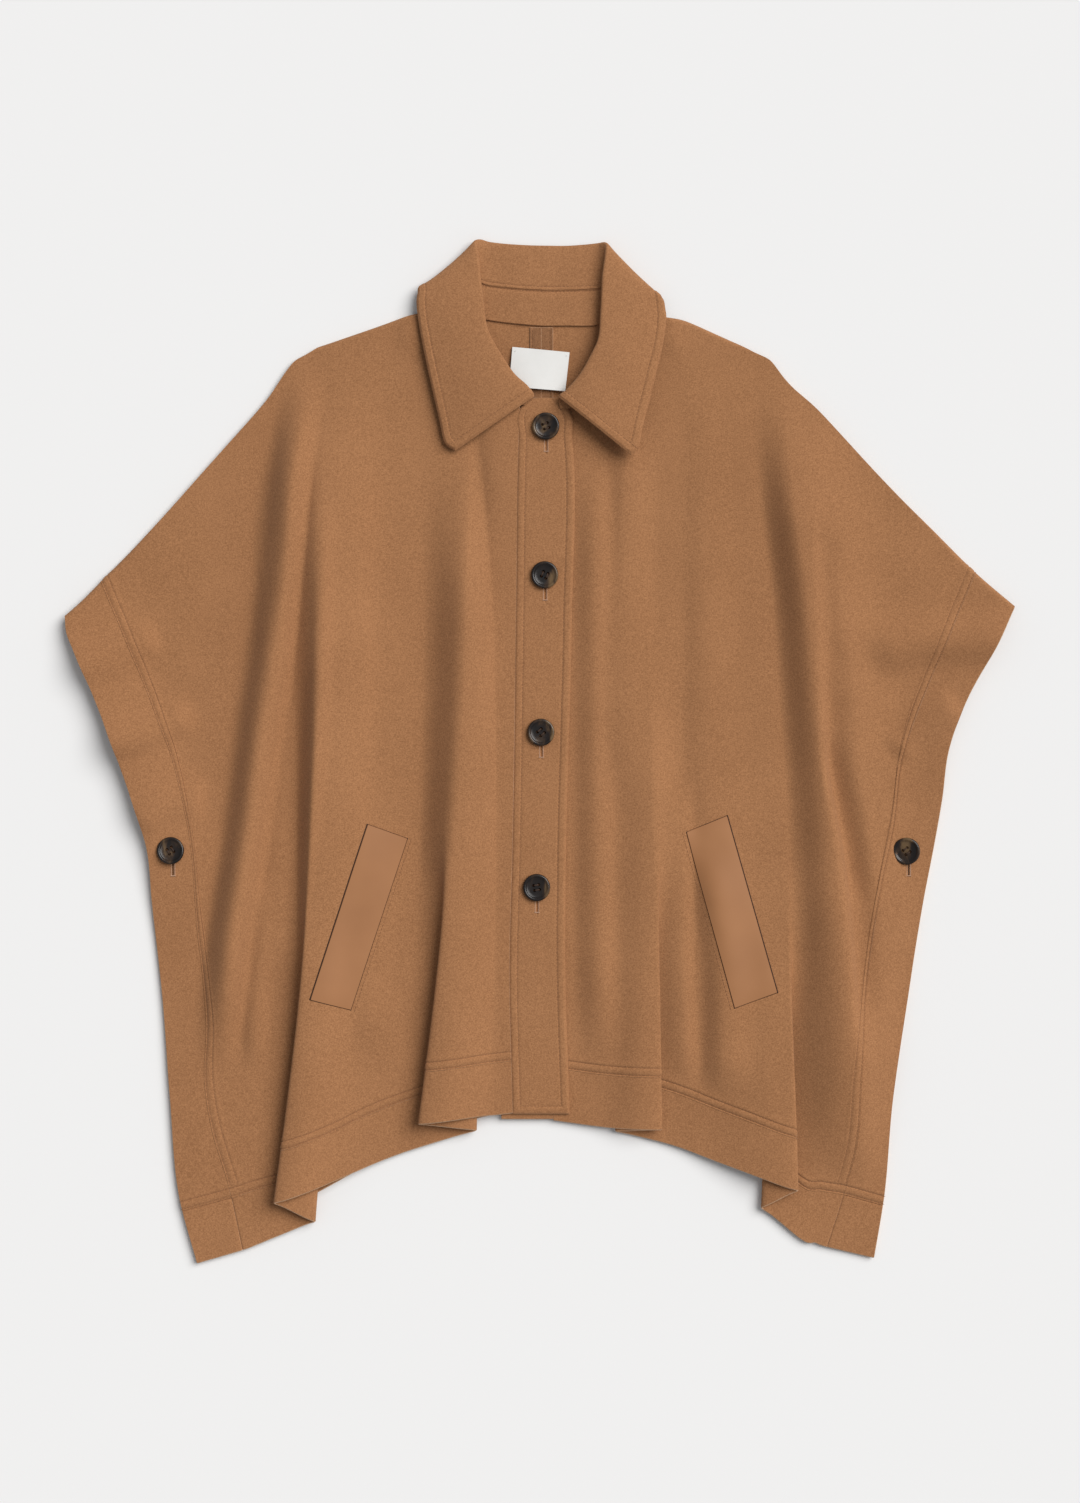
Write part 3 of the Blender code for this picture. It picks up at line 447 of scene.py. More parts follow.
def panel_surface(lines, per_line, row_step, base, top_inset, inner_x=None, folds=None):
    """The middle surface of a panel with its bands, and each point's distance to the hem seam and to the
    arm seam. per_line says how many columns lie between two lines."""
    count = len(lines.top)
    top_y = lines.top[:, 1] - top_inset
    length = top_y - lines.hem[:, 1]
    seam = length - HEM_BAND
    steps = int(np.mean(seam) / row_step)
    first, last = TURN_STEPS[-1], SEAM_STEPS[-1]
    downs = [np.full_like(length, mm) for mm in TURN_STEPS]
    downs += [first + (seam - last - first) * k / steps for k in range(1, steps)]
    downs += [seam - mm for mm in SEAM_STEPS[::-1]]
    downs += [seam + mm for mm in BAND_STEPS] + [length]
    inner_places = [np.linspace(k, k + 1, n, endpoint=False) for k, n in enumerate(per_line, 3)]
    inner_places.append([count - 1])
    inner_share = (np.concatenate(inner_places)[1:] - 3) / (count - 4)
    near = np.linspace(1.2, 6, 240)
    grid, to_hem, to_arm = [], [], []
    for down in downs:
        f = down / length
        y = top_y - down
        lapped = rise(*LAPS, f)
        x = lines.top[:, 0] + (lines.hem[:, 0] - lines.top[:, 0]) * f + lines.bow * 4 * f * (1 - f)
        x += (lines.shift[:, 0] * (1 - f) + lines.shift[:, 1] * f) * (1 - lapped)
        x[0] = across(ARM_EDGE[lines.side], y[0])
        x[2] = across(ARM_SEAM[lines.side], y[2])
        x[1] = (x[0] + x[2]) / 2
        x[3] = x[2] + (x[4] - x[2]) * 0.45
        if inner_x:
            x[-1] = inner_x(y[-1])
        turned = np.clip(1 - down / TURN, 0, 1)
        z = base + (lines.slope * (1 - lapped) + lines.height * lapped) * rise(lines.starts, lines.full, f)
        z -= lines.wraps * TURN * (1 - np.sqrt(1 - turned**2))
        # the columns by the arm seam lie at fixed distances from it
        points = np.stack([x, y, z], axis=1)
        path = spline_weights(count, near) @ points
        run = np.concatenate([[0], np.cumsum(np.linalg.norm(np.diff(path, axis=0), axis=1))])
        run -= np.interp(2, near, run)
        by_seam = np.interp(SEAM_STEPS, run, near)
        rest = by_seam[-1] + inner_share * (count - 1 - by_seam[-1])
        places = np.concatenate([EDGE_SHARES * np.interp(-BUTT / 2, run, near), by_seam, rest])
        grid.append(spline_weights(count, places) @ points)
        to_hem.append(np.full(len(places), (seam - down)[0]))
        to_arm.append(np.interp(places, near, run, left=-1e3, right=1e3))
    grid, to_hem, to_arm = np.array(grid), np.array(to_hem), np.array(to_arm)
    x, y = grid[..., 0], grid[..., 1]
    grid[..., 2] += lift(x, y) + (folds(x, y) if folds else 0)
    return grid, to_hem, to_arm


def groove(d, depth=0.55, width=0.7):
    return depth * np.exp(-((d / width) ** 2))


def seam_relief(to_hem, to_arm):
    """Each seam is lapped, so a strip beside it stands proud and sinks along both rows of stitches. Inside
    the hem band, the arm's seam is a plain one."""
    relief = np.zeros_like(to_hem)
    above = rise(9.5, 12, to_hem)
    for d, share, sunk in ((to_hem, 1, 0.95), (to_arm, above, 0.6)):
        lap = 0.55 * rise(-0.2, 0.25, d) * (1 - rise(9.2, 13, d))
        relief += share * (lap - groove(d - 1.5, sunk, 0.85) - groove(d - 8.6, sunk, 0.85))
    crossing = groove(to_hem, 0.9, 0.5) * (to_arm < 0)
    return relief - crossing - groove(to_arm, 0.6, 0.7) * (to_hem < 0)


def cut_panel(name, word, grid, relief, proud):
    """The panel, its hem band and its arm band, each cut from the one surface."""
    normals = normals_of(grid)
    band_row = len(grid) - BAND_ROWS
    panel = np.ones((grid.shape[0] - 1, grid.shape[1] - 1), bool)
    arm, hem = panel.copy(), panel.copy()
    arm[:, ARM_COUNT - 1:] = False
    panel[:, :ARM_COUNT] = False
    panel[band_row - 1:] = False
    hem[:, :ARM_COUNT] = False
    hem[:band_row] = False
    # the raw edge at the hem and along the arm is left thick and a little fluffy
    bulge = np.full(grid.shape[:2], 0.3)
    bulge[-1], bulge[:, 0] = 0.8, 0.5
    finishes = [wool, cut_wool]
    for part, keep in (("", panel), ("_hem", hem), ("_arm_band", arm)):
        piece = f"{name}{part}_{word}"
        made = cloth_mesh(f"{piece}_cloth", grid, CLOTH, finishes, relief, keep, bulge, normals, proud)
        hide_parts(piece)
        lay(grid, keep)
    return normals


def height_of(grid):
    """A function that gives the height of a grid at (x, y), seen from above."""
    tree = BVHTree.FromPolygons(grid.reshape(-1, 3).tolist(), quads_of(grid).reshape(-1, 4).tolist())

    def read(x, y):
        hit = tree.ray_cast(Vector((x, y, 200)), Vector((0, 0, -1)))[0]
        return None if hit is None else hit.z

    return read


def rest_on(grid, under, clearance):
    """Raises a grid wherever it comes nearer than clearance to the surface that it lies on."""
    for point in grid.reshape(-1, 3):
        low = under(point[0], point[1])
        if low is not None:
            point[2] = max(point[2], low + clearance)
    return grid


def stitch_tree():
    """Geometry Nodes: short, fat threads laid along each path at an even pitch."""
    tree = bpy.data.node_groups.new("stitch_rows", "GeometryNodeTree")
    tree.is_modifier = True
    for name, in_out, kind in (("Paths", "INPUT", "Geometry"), ("Pitch", "INPUT", "Float"),
                               ("Stitch length", "INPUT", "Float"), ("Thread radius", "INPUT", "Float"),
                               ("Thread", "INPUT", "Material"), ("Stitches", "OUTPUT", "Geometry")):
        tree.interface.new_socket(name, in_out=in_out, socket_type=f"NodeSocket{kind}")
    given = {socket.name: Shade(tree, socket) for socket in tree.nodes.new("NodeGroupInput").outputs}
    curve = given["Paths"].node("GeometryNodeMeshToCurve", {}, {"Mesh": given["Paths"]})
    spacing = {"Curve": curve, "Length": given["Pitch"]}
    points = curve.node("GeometryNodeCurveToPoints", {"mode": "LENGTH"}, spacing)
    tangent = Shade(tree, points.socket.node.outputs["Tangent"])
    turn = tangent.node("FunctionNodeAlignRotationToVector", {"axis": "Z"}, {"Vector": tangent})
    size = turn.node("ShaderNodeCombineXYZ", {}, {"X": given["Thread radius"], "Y": given["Thread radius"],
                                                  "Z": given["Stitch length"] * 0.5})
    ball = size.node("GeometryNodeMeshUVSphere", {}, {"Segments": 6, "Rings": 4, "Radius": 1.0})
    shaped = ball.node("GeometryNodeTransform", {}, {"Geometry": ball, "Scale": size})
    placed = {"Points": points, "Instance": shaped, "Rotation": turn}
    laid = shaped.node("GeometryNodeInstanceOnPoints", {}, placed)
    real = laid.node("GeometryNodeRealizeInstances", {}, {"Geometry": laid})
    coloured = real.node("GeometryNodeSetMaterial", {}, {"Geometry": real, "Material": given["Thread"]})
    coloured.node("NodeGroupOutput", {}, {"Stitches": coloured})
    return tree


def sew(name, paths, thread, pitch=3.4, length=2.7, radius=0.3, slot="wool"):
    """Rows of stitches along paths of points in millimetres, as one mesh."""
    tree = bpy.data.node_groups.get("stitch_rows") or stitch_tree()
    points, edges = [], []
    for path in paths:
        edges += [(len(points) + k, len(points) + k + 1) for k in range(len(path) - 1)]
        points += [tuple(float(v) * MM for v in p) for p in path]
    mesh = bpy.data.meshes.new(f"{name}_paths")
    mesh.from_pydata(points, edges, [])
    guide = put(f"{name}_paths", mesh)
    rows = guide.modifiers.new("stitches", "NODES")
    rows.node_group = tree
    sockets = {item.name: item.identifier for item in tree.interface.items_tree if item.item_type == "SOCKET"}
    rows[sockets["Pitch"]] = pitch * MM
    rows[sockets["Stitch length"]] = length * MM
    rows[sockets["Thread radius"]] = radius * MM
    rows[sockets["Thread"]] = thread
    graph = bpy.context.evaluated_depsgraph_get()
    stitched = bpy.data.meshes.new_from_object(guide.evaluated_get(graph), depsgraph=graph)
    stitched.name = name
    bpy.data.objects.remove(guide)
    stitched.shade_smooth()
    made = put(name, stitched)
    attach(made, "root")
    return made


def thread_finish(name, deep, pale):
    made, shade = start_finish(name)
    place = shade.where()
    twist = place.mottle(900.0, 1.0)
    colour = twist.mix(deep, pale)
    shade.surface({"Base Color": colour, "Roughness": 0.7, "Specular IOR Level": 0.3})
    return made


thread = thread_finish("camel_thread", (0.19, 0.085, 0.037), (0.29, 0.135, 0.064))
FINE_RADIUS = 0.25
SEAM_ROWS = (1.5, 8.6)  # how far from a lapped seam its two rows of stitches run


def panel_rows(grid, normals, relief, to_hem, to_arm, proud):
    """The paths of a panel's four rows of stitches, on its outer face."""
    facing = proud * (1 if normals[..., 2].mean() > 0 else -1)
    face = grid + normals * (facing * (CLOTH / 2 + relief + 0.05))[..., None]
    lap_end = int(np.argmin(np.abs(to_hem[:, 0] - 10)))
    paths = []
    for distance in SEAM_ROWS:
        paths.append(face[int(np.argmin(np.abs(to_hem[:, 0] - distance)))])
        paths.append(face[5:lap_end, int(np.argmin(np.abs(to_arm[60] - distance)))])
    return paths


back_height = {}
for side, word in SIDES:
    lines = back_lines(side)
    grid, to_hem, to_arm = panel_surface(lines, [9] * 7, 9.0, BACK_Z, TURN + 1.8)
    # its outer face is the lower one, pressed flat, where only the rows of stitches sink in
    relief = np.minimum(seam_relief(to_hem, to_arm), 0) * 0.8
    normals = cut_panel("back", word, grid, relief, -1)
    back_height[side] = height_of(grid)
    rows = panel_rows(grid, normals, relief - 0.1, to_hem, to_arm, -1)
    sew(f"back_topstitch_{word}", rows, thread, radius=FINE_RADIUS)

# ---------------------------------------------------------------- centre back and label
# Inside the neck, the seam down the middle of the back is pressed open and its allowances are stitched
# down. The woven label is left blank, and tacked over them at its corners.
TAPE = 1.0
TAPE_WIDTH = 10.5
TAPE_STITCH = 8.2
LABEL_CLOTH = 0.6
LABEL = line_of((-26, 375), (27, 370), (23, 334), (-29, 338))

# the allowances are the back's own wool, given a darker colour than it
darker_tape_wool = wool_finish("camel_wool_darker", (0.185, 0.086, 0.040), (0.305, 0.147, 0.070))
tape_height = {}
for side, word in SIDES:
    xs = CENTRE_BACK_X + side * np.array([0.3, 1.0, 2.0, 3.2, 5.0, 7.4, TAPE_STITCH, 9.0, 9.9, TAPE_WIDTH])
    ys = np.concatenate([[393, 390], np.arange(386, -318, -6.0), [-324]])
    x, y = np.meshgrid(np.sort(xs), ys)
    grid = np.stack([x, y, np.zeros_like(x)], axis=2)
    grid = rest_on(grid, back_height[side], CLOTH / 2 + CLEAR + TAPE / 2)
    relief = -groove(np.abs(x - CENTRE_BACK_X) - TAPE_STITCH, 0.45, 0.8)
    made = cloth_mesh(f"centre_back_tape_{word}", grid, TAPE, [darker_tape_wool, cut_wool], relief, bulge=0.35)
    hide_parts(f"back_seam_allowance_{word}")
    lay(grid)
    tape_height[side] = height_of(grid)
    column = int(np.argmin(np.abs(np.abs(x[0] - CENTRE_BACK_X) - TAPE_STITCH)))
    row = grid[1:, column] + [0, 0, TAPE / 2 - 0.1]
    sew(f"centre_back_topstitch_{word}", [row], thread, radius=FINE_RADIUS)

label_cloth, shade = start_finish("woven_label")
place = shade.where()
weave = {"Vector": place, "Scale": 900.0, "Distortion": 0.4}
warp = shade.node("ShaderNodeTexWave", {"bands_direction": "X"}, weave)
weft = shade.node("ShaderNodeTexWave", {"bands_direction": "Y"}, weave)
soil = place.mottle(60.0, 2.0)
tone = warp * 0.3 + weft * 0.3 + soil * 0.5
colour = tone.mix((0.66, 0.655, 0.635), (0.80, 0.795, 0.78))
bump = (warp + weft).bump(0.25, 0.0001)
shade.surface({"Base Color": colour, "Roughness": 0.75, "Normal": bump})


def patch(corners, rows, columns):
    """The plan of a grid between four corners, and how far down and over it each point is."""
    down, over = np.meshgrid(np.linspace(0, 1, rows), np.linspace(0, 1, columns), indexing="ij")
    shares = ((1 - down) * (1 - over), (1 - down) * over, down * over, down * (1 - over))
    return sum(share[..., None] * np.array(corner) for share, corner in zip(shares, corners)), down, over


flat, down, over = patch(LABEL, 31, 41)
grid = np.dstack([flat, np.zeros_like(down)])
for side in (RIGHT, LEFT):
    grid = rest_on(grid, back_height[side], CLOTH / 2 + CLEAR + LABEL_CLOTH / 2)
for side in (RIGHT, LEFT):
    grid = rest_on(grid, tape_height[side], TAPE / 2 + CLEAR + LABEL_CLOTH / 2)
# it bows between its tacks, most along its lower edge
arch = np.sin(math.pi * over)
grid[..., 2] = grid[..., 2].max() + 1.4 * down**2 * arch + 0.7 * arch + 0.8 * over * down
made = cloth_mesh("blank_label", grid, LABEL_CLOTH, [label_cloth], bulge=0.2)
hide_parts("neck_label")
lay(grid)
label_thread = thread_finish("white_thread", (0.55, 0.545, 0.52), (0.70, 0.695, 0.67))
tacks = []
for corner_row, corner_column in ((2, 2), (2, -3), (-3, 2), (-3, -3)):
    middle_point = grid[corner_row, corner_column] + [0, 0, LABEL_CLOTH / 2]
    tacks += [[middle_point + [dx, -1.2, 0], middle_point + [dx, 1.2, 0]] for dx in (-0.6, 0, 0.6)]
sew("label_tacks", tacks, label_thread, 2.5, 2.2, 0.18, "label_cloth")

# ---------------------------------------------------------------- fronts
# Each front lies on its back. It is turned over along the shoulder and the arm, with no seam there, and
# falls into deep pleats that widen to the hem and fold over on themselves, with softer folds between.
PLACKET_CLOTH = 3.2
UNDERLAP_Z = CLOTH + CLEAR + TAPE + CLEAR + CLOTH / 2
PLACKET_Z = UNDERLAP_Z + CLOTH / 2 + CLEAR + PLACKET_CLOTH / 2
# Each pleat has four lengthwise lines, given at the top and at the hem: where the under layer leads in,
# the hidden loop that it turns back at, the edge that shows, and where the top layer ends.
Line = namedtuple("Line", "top hem")
Pleat = namedtuple("Pleat", "lead loop edge tail bow height starts full tail_height")


def long_line(top_x, top_y, hem_x, hem_y):
    return Line(Point(top_x, top_y), Point(hem_x, hem_y))


PLEATS = {
    "arm_right": Pleat(
        lead=long_line(-255, 325, -240, -449), loop=long_line(-223, 364, -211, -437),
        edge=long_line(-209, 375, -244, -418), tail=long_line(-168, 389, -196, -401),
        bow=19, height=20, starts=0.0, full=0.24, tail_height=8),
    "chest_right": Pleat(
        lead=long_line(-124, 405, -132, -374), loop=long_line(-106, 411, -60, -352),
        edge=long_line(-68, 398, -111, -345), tail=long_line(-62, 352, -52, -338),
        bow=15, height=20, starts=0.12, full=0.38, tail_height=6),
    "arm_left": Pleat(
        lead=long_line(262, 314, 248, -459), loop=long_line(242, 338, 207, -424),
        edge=long_line(214, 365, 236, -407), tail=long_line(176, 382, 190, -390),
        bow=0, height=14, starts=0.42, full=0.93, tail_height=10),
    "chest_left": Pleat(
        lead=long_line(134, 401, 128, -367), loop=long_line(124, 405, 71, -353),
        edge=long_line(84, 418, 110, -351), tail=long_line(75, 372, 66, -350),
        bow=-5, height=11.5, starts=0.30, full=0.70, tail_height=4),
}
# How the ten lines of a pleat lie between its four, and their height as a share of the pleat's. Above
# the lap the pleat is still a ridge: flank says how far up its flank a line lies, and slope how high.
PleatLine = namedtuple("PleatLine", "start end top_share hem_share reach level flank slope")
PLEAT_LINES = [
    PleatLine("lead", "loop", 0.00, 0.00, 0, 0.00, 0.00, 0.00),
    PleatLine("lead", "loop", 0.35, 0.50, 0, 0.00, 0.18, 0.04),
    PleatLine("lead", "loop", 0.70, 0.85, 0, 0.00, 0.38, 0.22),
    PleatLine("lead", "loop", 1.00, 1.00, 4, 0.18, 0.56, 0.48),
    PleatLine("loop", "edge", 0.33, 0.12, 0, 0.46, 0.73, 0.74),
    PleatLine("loop", "edge", 0.67, 0.88, 0, 0.62, 0.87, 0.93),
    PleatLine("loop", "edge", 1.00, 1.00, -5, 0.84, 1.00, 1.00),
    PleatLine("edge", "tail", 0.20, 0.10, 0, 1.00, None, 0.98),
    PleatLine("edge", "tail", 0.60, 0.50, 0, 1.00, None, 0.80),
    PleatLine("edge", "tail", 1.00, 1.00, 0, None, None, None),
]
# The plain lengthwise lines between the pleats, from the arm inwards.
Plain = namedtuple("Plain", "line height starts full")
FRONT_LINES = {
    RIGHT: [
        Plain(long_line(-368, 198, -262, -458), 0, 0, 1),
        Plain(long_line(-310, 265, -250, -453), 0, 0, 1),
        "arm_right",
        Plain(long_line(-145, 397, -164, -387), 3, 0, 0.4),
        "chest_right",
        Plain(long_line(-44, 333, -42, -338), PLACKET_Z - FRONT_Z, -1, 0),
        Plain(long_line(-21, 322, -26, -336), PLACKET_Z - FRONT_Z, -1, 0),
    ],
    LEFT: [
        Plain(long_line(366, 204, 258, -458), 0, 0, 1),
        Plain(long_line(312, 259, 254, -456), 0, 0, 1),
        "arm_left",
        Plain(long_line(150, 394, 158, -379), 4, 0, 0.4),
        "chest_left",
        Plain(long_line(48, 330, 40, -347), UNDERLAP_Z - FRONT_Z, -1, 0),
        Plain(long_line(17, 318, 13, -343), UNDERLAP_Z - FRONT_Z, -1, 0),
    ],
}
# Folds that do not lap over: the line of the crest from its upper end, its height, and how far the cloth
# falls away on the left and on the right of it, as seen with the hem below. Two numbers are the reach at
# its upper and lower end, and a crease has a height below nought.
Fold = namedtuple("Fold", "crest height left right")
FOLDS = {
    RIGHT: [
        Fold(line_of((-214, 362), (-231, 250), (-242, 131), (-259, 10), (-272, -90), (-286, -180),
            (-300, -310)), 20, 27, 22),
        Fold(line_of((-222, 270), (-229, 131), (-239, -8), (-247, -101), (-256, -240)), 5, 19, 22),
        Fold(line_of((-199, 250), (-203, 141), (-206, 48), (-214, -45), (-226, -138),
            (-236, -231)), 5.5, 32, 16),
        Fold(line_of((-262, -100), (-262, -180), (-268, -300)), 4, 15, 16),
        Fold(line_of((-150, -60), (-160, -180), (-152, -300)), 3, 26, 34),
        Fold(line_of((-446, 76), (-400, 86), (-352, 110)), 5, 26, 30),
        Fold(line_of((-420, 2), (-368, 14), (-318, 36)), 6, 22, 30),
        Fold(line_of((-380, -70), (-345, -48), (-308, -50)), 4, 26, 34),
    ],
    LEFT: [
        Fold(line_of((226, 352), (232, 262), (240, 200), (248, 141), (253, 85), (259, 29), (264, -17),
            (267, -54), (271, -110), (279, -185), (285, -240), (291, -300), (297, -430)),
            18, (31, 100), (88, 36)),
        Fold(line_of((264, 120), (266, 70), (268, 14), (270, -17), (276, -54), (283, -92),
            (289, -138), (293, -185), (296, -231), (299, -290)), -7, 9, 26),
        Fold(line_of((264, 20), (269, -20), (276, -54), (283, -92), (289, -150)), -4, 8, 24),
        Fold(line_of((268, -100), (279, -200), (287, -300), (295, -420)), 4, 56, 30),
        Fold(line_of((262, 215), (264, 140), (270, 66)), -2.5, 12, 16),
        Fold(line_of((318, 30), (326, -20), (330, -110), (328, -200)), 3, 40, 34),
        Fold(line_of((51, 300), (52, 100), (52, -100), (56, -325)), 6, 23, 22),
        Fold(line_of((82, 318), (78, 200), (74, 60), (76, -60)), 4.5, 18, 34),
        Fold(line_of((130, -10), (130, -90), (130, -190), (136, -330)), 5, 24, 16),
        Fold(line_of((158, -90), (164, -150), (170, -215), (168, -330)), 6, 22, 34),
        Fold(line_of((462, 98), (400, 102), (350, 100), (300, 84)), 8, 36, 30),
        Fold(line_of((326, -8), (352, 20), (392, 44)), 5, 20, 30),
    ],
}
FOLD_FADE = 0.2
SHOULDER_Y = 376  # a line that starts above this is turned down over the shoulder


def from_line(line, x, y):
    """How far each (x, y) lies to the left of a line of points, going down it, and how far down it is."""
    line = np.array(line, float)
    steps = np.diff(line, axis=0)
    lengths = np.linalg.norm(steps, axis=1)
    starts = np.concatenate([[0], np.cumsum(lengths)])
    nearest, away, down = np.full(x.shape, 1e9), np.zeros(x.shape), np.zeros(x.shape)
    for start, step, length, run in zip(line, steps / lengths[:, None], lengths, starts):
        dx, dy = x - start[0], y - start[1]
        along = np.clip(dx * step[0] + dy * step[1], 0, length)
        apart = np.hypot(dx - along * step[0], dy - along * step[1])
        closer = apart < nearest
        left = np.where(dx * step[1] - dy * step[0] > 0, 1.0, -1.0)
        nearest, away = np.where(closer, apart, nearest), np.where(closer, left * apart, away)
        down = np.where(closer, (run + along) / starts[-1], down)
    return away, down


def smooth_line(points, count=40):
    """The same line as a smooth curve."""
    known, at = np.arange(len(points)), np.linspace(0, len(points) - 1, count)
    return np.stack([through(known, values, at) for values in zip(*points)], axis=1)


PLACKET_EDGE = line_of((-19, 317), (-20, 290), (-22.5, 120), (-26, -100), (-28.5, -200), (-25.5, -337))
UNDERLAP_EDGE = line_of((16, 317), (16, 120), (12, -100), (12, -342))


def inner_edge(side):
    """Where a front is sewn to the placket or to the underlap."""
    table = PLACKET_EDGE if side == RIGHT else UNDERLAP_EDGE
    return lambda y: across(table, y) + side * BUTT


def folds(side):
    def height(x, y):
        total = np.zeros_like(x)
        for fold in FOLDS[side]:
            away, down = from_line(smooth_line(fold.crest), x, y)
            ends = rise(0, FOLD_FADE, down) * rise(0, FOLD_FADE, 1 - down)
            reaches = [np.broadcast_to(reach, 2) for reach in (fold.left, fold.right)]
            left, right = (upper + (lower - upper) * down**3 for upper, lower in reaches)
            width = np.where(away > 0, left, right)
            total += fold.height * ends * (0.5 + 0.5 * np.cos(math.pi * np.clip(np.abs(away) / width, 0, 1)))
        wander = ripple(x, y, 75, 170, 3.7 * side) + 0.3 * ripple(x, y, 24, 60, side)
        return np.clip(total, 0, None) + np.clip(0.5 + wander, 0, None) * 1.1

    return height


def front_lines(side):
    """Every lengthwise line of a front, from the arm edge inwards, and the columns between them."""
    first = FRONT_LINES[side][0].line
    rows = [(top, low, 0, 0, 0, (0, 0), 0, 1, True)
            for top, low in arm_lines(side, ARM_EDGE[side][-1], ARM_SEAM[side][-1], first.top, first.hem)]
    per_line = [8]
    for item in FRONT_LINES[side]:
        if isinstance(item, Plain):
            rows.append((*item.line, 0, item.height, item.height, (0, 0), item.starts, item.full,
                         item.line.top.y > SHOULDER_Y))
            per_line.append(10)
            continue
        pleat = PLEATS[item]
        for part in PLEAT_LINES:
            a, b = getattr(pleat, part.start), getattr(pleat, part.end)
            top, low = between(a.top, b.top, part.top_share), between(a.hem, b.hem, part.hem_share)
            low = Point(low.x - side * part.reach, low.y)
            level = pleat.tail_height if part.level is None else part.level * pleat.height
            slope = pleat.tail_height if part.slope is None else part.slope * pleat.height
            shift = (0, 0)
            if part.flank is not None:
                flank = [between(a, b, part.flank).x for a, b in zip(pleat.lead, pleat.edge)]
                shift = (flank[0] - top.x, flank[1] - low.x)
            rows.append((top, low, -side * pleat.bow, level, slope, shift, pleat.starts, pleat.full,
                         top.y > SHOULDER_Y))
            per_line.append(5)
        per_line[-1] = 10
    return Lines(side, *(np.array(column, float) for column in zip(*rows))), per_line[:-1]


front_height = {}
for side, word in SIDES:
    lines, per_line = front_lines(side)
    grid, to_hem, to_arm = panel_surface(lines, per_line, 5.0, FRONT_Z, CLOTH / 2 + 0.5,
                                         inner_edge(side), folds(side))
    relief = seam_relief(to_hem, to_arm)
    normals = cut_panel("front", word, grid, relief, 1)
    front_height[side] = height_of(grid)
    sew(f"front_topstitch_{word}", panel_rows(grid, normals, relief, to_hem, to_arm, 1), thread)

# ---------------------------------------------------------------- pocket welts
# Each pocket has a welt of smooth leather let into the front, sewn in the ditch on three sides with near-
# black thread, which also stands for painted shadow in the ditch. It is open along the edge that faces the
# arm, where two rows of that thread are painted shadow in the mouth, and a row of stitches holds its facing
# behind the inner edge.
WELT_LEATHER = 1.6
WELT_SMOOTHING = 12
Welt = namedtuple("Welt", "top_outer top_inner low_inner low_outer")
WELTS = {
    RIGHT: Welt(*line_of((-160, -69), (-124, -82), (-176, -240), (-212, -230))),
    LEFT: Welt(*line_of((173, -61), (136, -76), (180, -238), (219, -224))),
}

leather, shade = start_finish("smooth_leather")
place = shade.where()
pebble = shade.node("ShaderNodeTexVoronoi", {"feature": "SMOOTH_F1"}, {"Vector": place, "Scale": 1400.0})
pores = place.mottle(2600.0, 2.0)
cloud = place.mottle(22.0, 2.0)
colour = cloud.mix((0.290, 0.128, 0.052), (0.375, 0.175, 0.078))
rough = cloud * 0.16 + pores * 0.08 + 0.46
bump = (pebble * 0.7 + pores * 0.3).bump(0.3, 0.00012)
shade.surface({"Base Color": colour, "Roughness": rough, "Specular IOR Level": 0.2, "Normal": bump})
# near-black thread, dark enough to paint the shadow in the welts' ditches, along the pockets' mouths and in
# the slits of the arm buttonholes
ditch_and_shadow_thread = thread_finish("painted_shadow_thread", (0.030, 0.012, 0.006), (0.060, 0.025, 0.012))

for side, word in SIDES:
    welt = WELTS[side]
    flat, down, over = patch(welt, 61, 21)
    heights = np.array([[front_height[side](*p) for p in row] for row in flat])
    # leather is stiffer than the wool beneath it, so it bridges the cloth's small waves
    for _ in range(WELT_SMOOTHING):
        heights[1:-1] = (heights[:-2] + heights[1:-1] * 2 + heights[2:]) / 4
        heights[:, 1:-1] = (heights[:, :-2] + heights[:, 1:-1] * 2 + heights[:, 2:]) / 4
    crown = 0.7 * (1 - (2 * over - 1) ** 4) * (1 - (2 * down - 1) ** 12)
    grid = np.dstack([flat, heights + CLOTH / 2 + 0.1 + crown])
    made = cloth_mesh(f"pocket_welt_{word}_leather", grid, WELT_LEATHER, [leather], bulge=0.5)
    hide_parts(f"pocket_welt_{word}")
    lay(grid)

    def on_cloth(a, b, outset, sink, count=60):
        """A line of points on the front, beside the welt's edge from a to b."""
        run = np.array([b.x - a.x, b.y - a.y]) / math.hypot(b.x - a.x, b.y - a.y)
        aside = np.array([run[1], -run[0]]) * outset
        plan = [np.array(between(a, b, t)) + aside for t in np.linspace(0, 1, count)]
        return [(x, y, front_height[side](x, y) + CLOTH / 2 + sink) for x, y in plan]

    # stitches in the ditch round the welt, near-black as painted shadow in the ditch
    ditch = [on_cloth(a, b, side * 0.5, 0.0) for a, b in zip(welt, welt[1:])]
    sew(f"pocket_ditch_{word}", ditch, ditch_and_shadow_thread, 1.2, 2.2, 0.4)
    # painted shadow: two near-black rows along the pocket's open mouth
    opening = [on_cloth(welt.top_outer, welt.low_outer, -side * d, 0.05) for d in (0.4, 1.0)]
    sew(f"pocket_opening_{word}", opening, ditch_and_shadow_thread, 0.8, 2.0, 0.45)
    facing_row = on_cloth(welt.top_inner, welt.low_inner, side * 4.0, 0.05)
    sew(f"pocket_topstitch_{word}", [facing_row], thread)

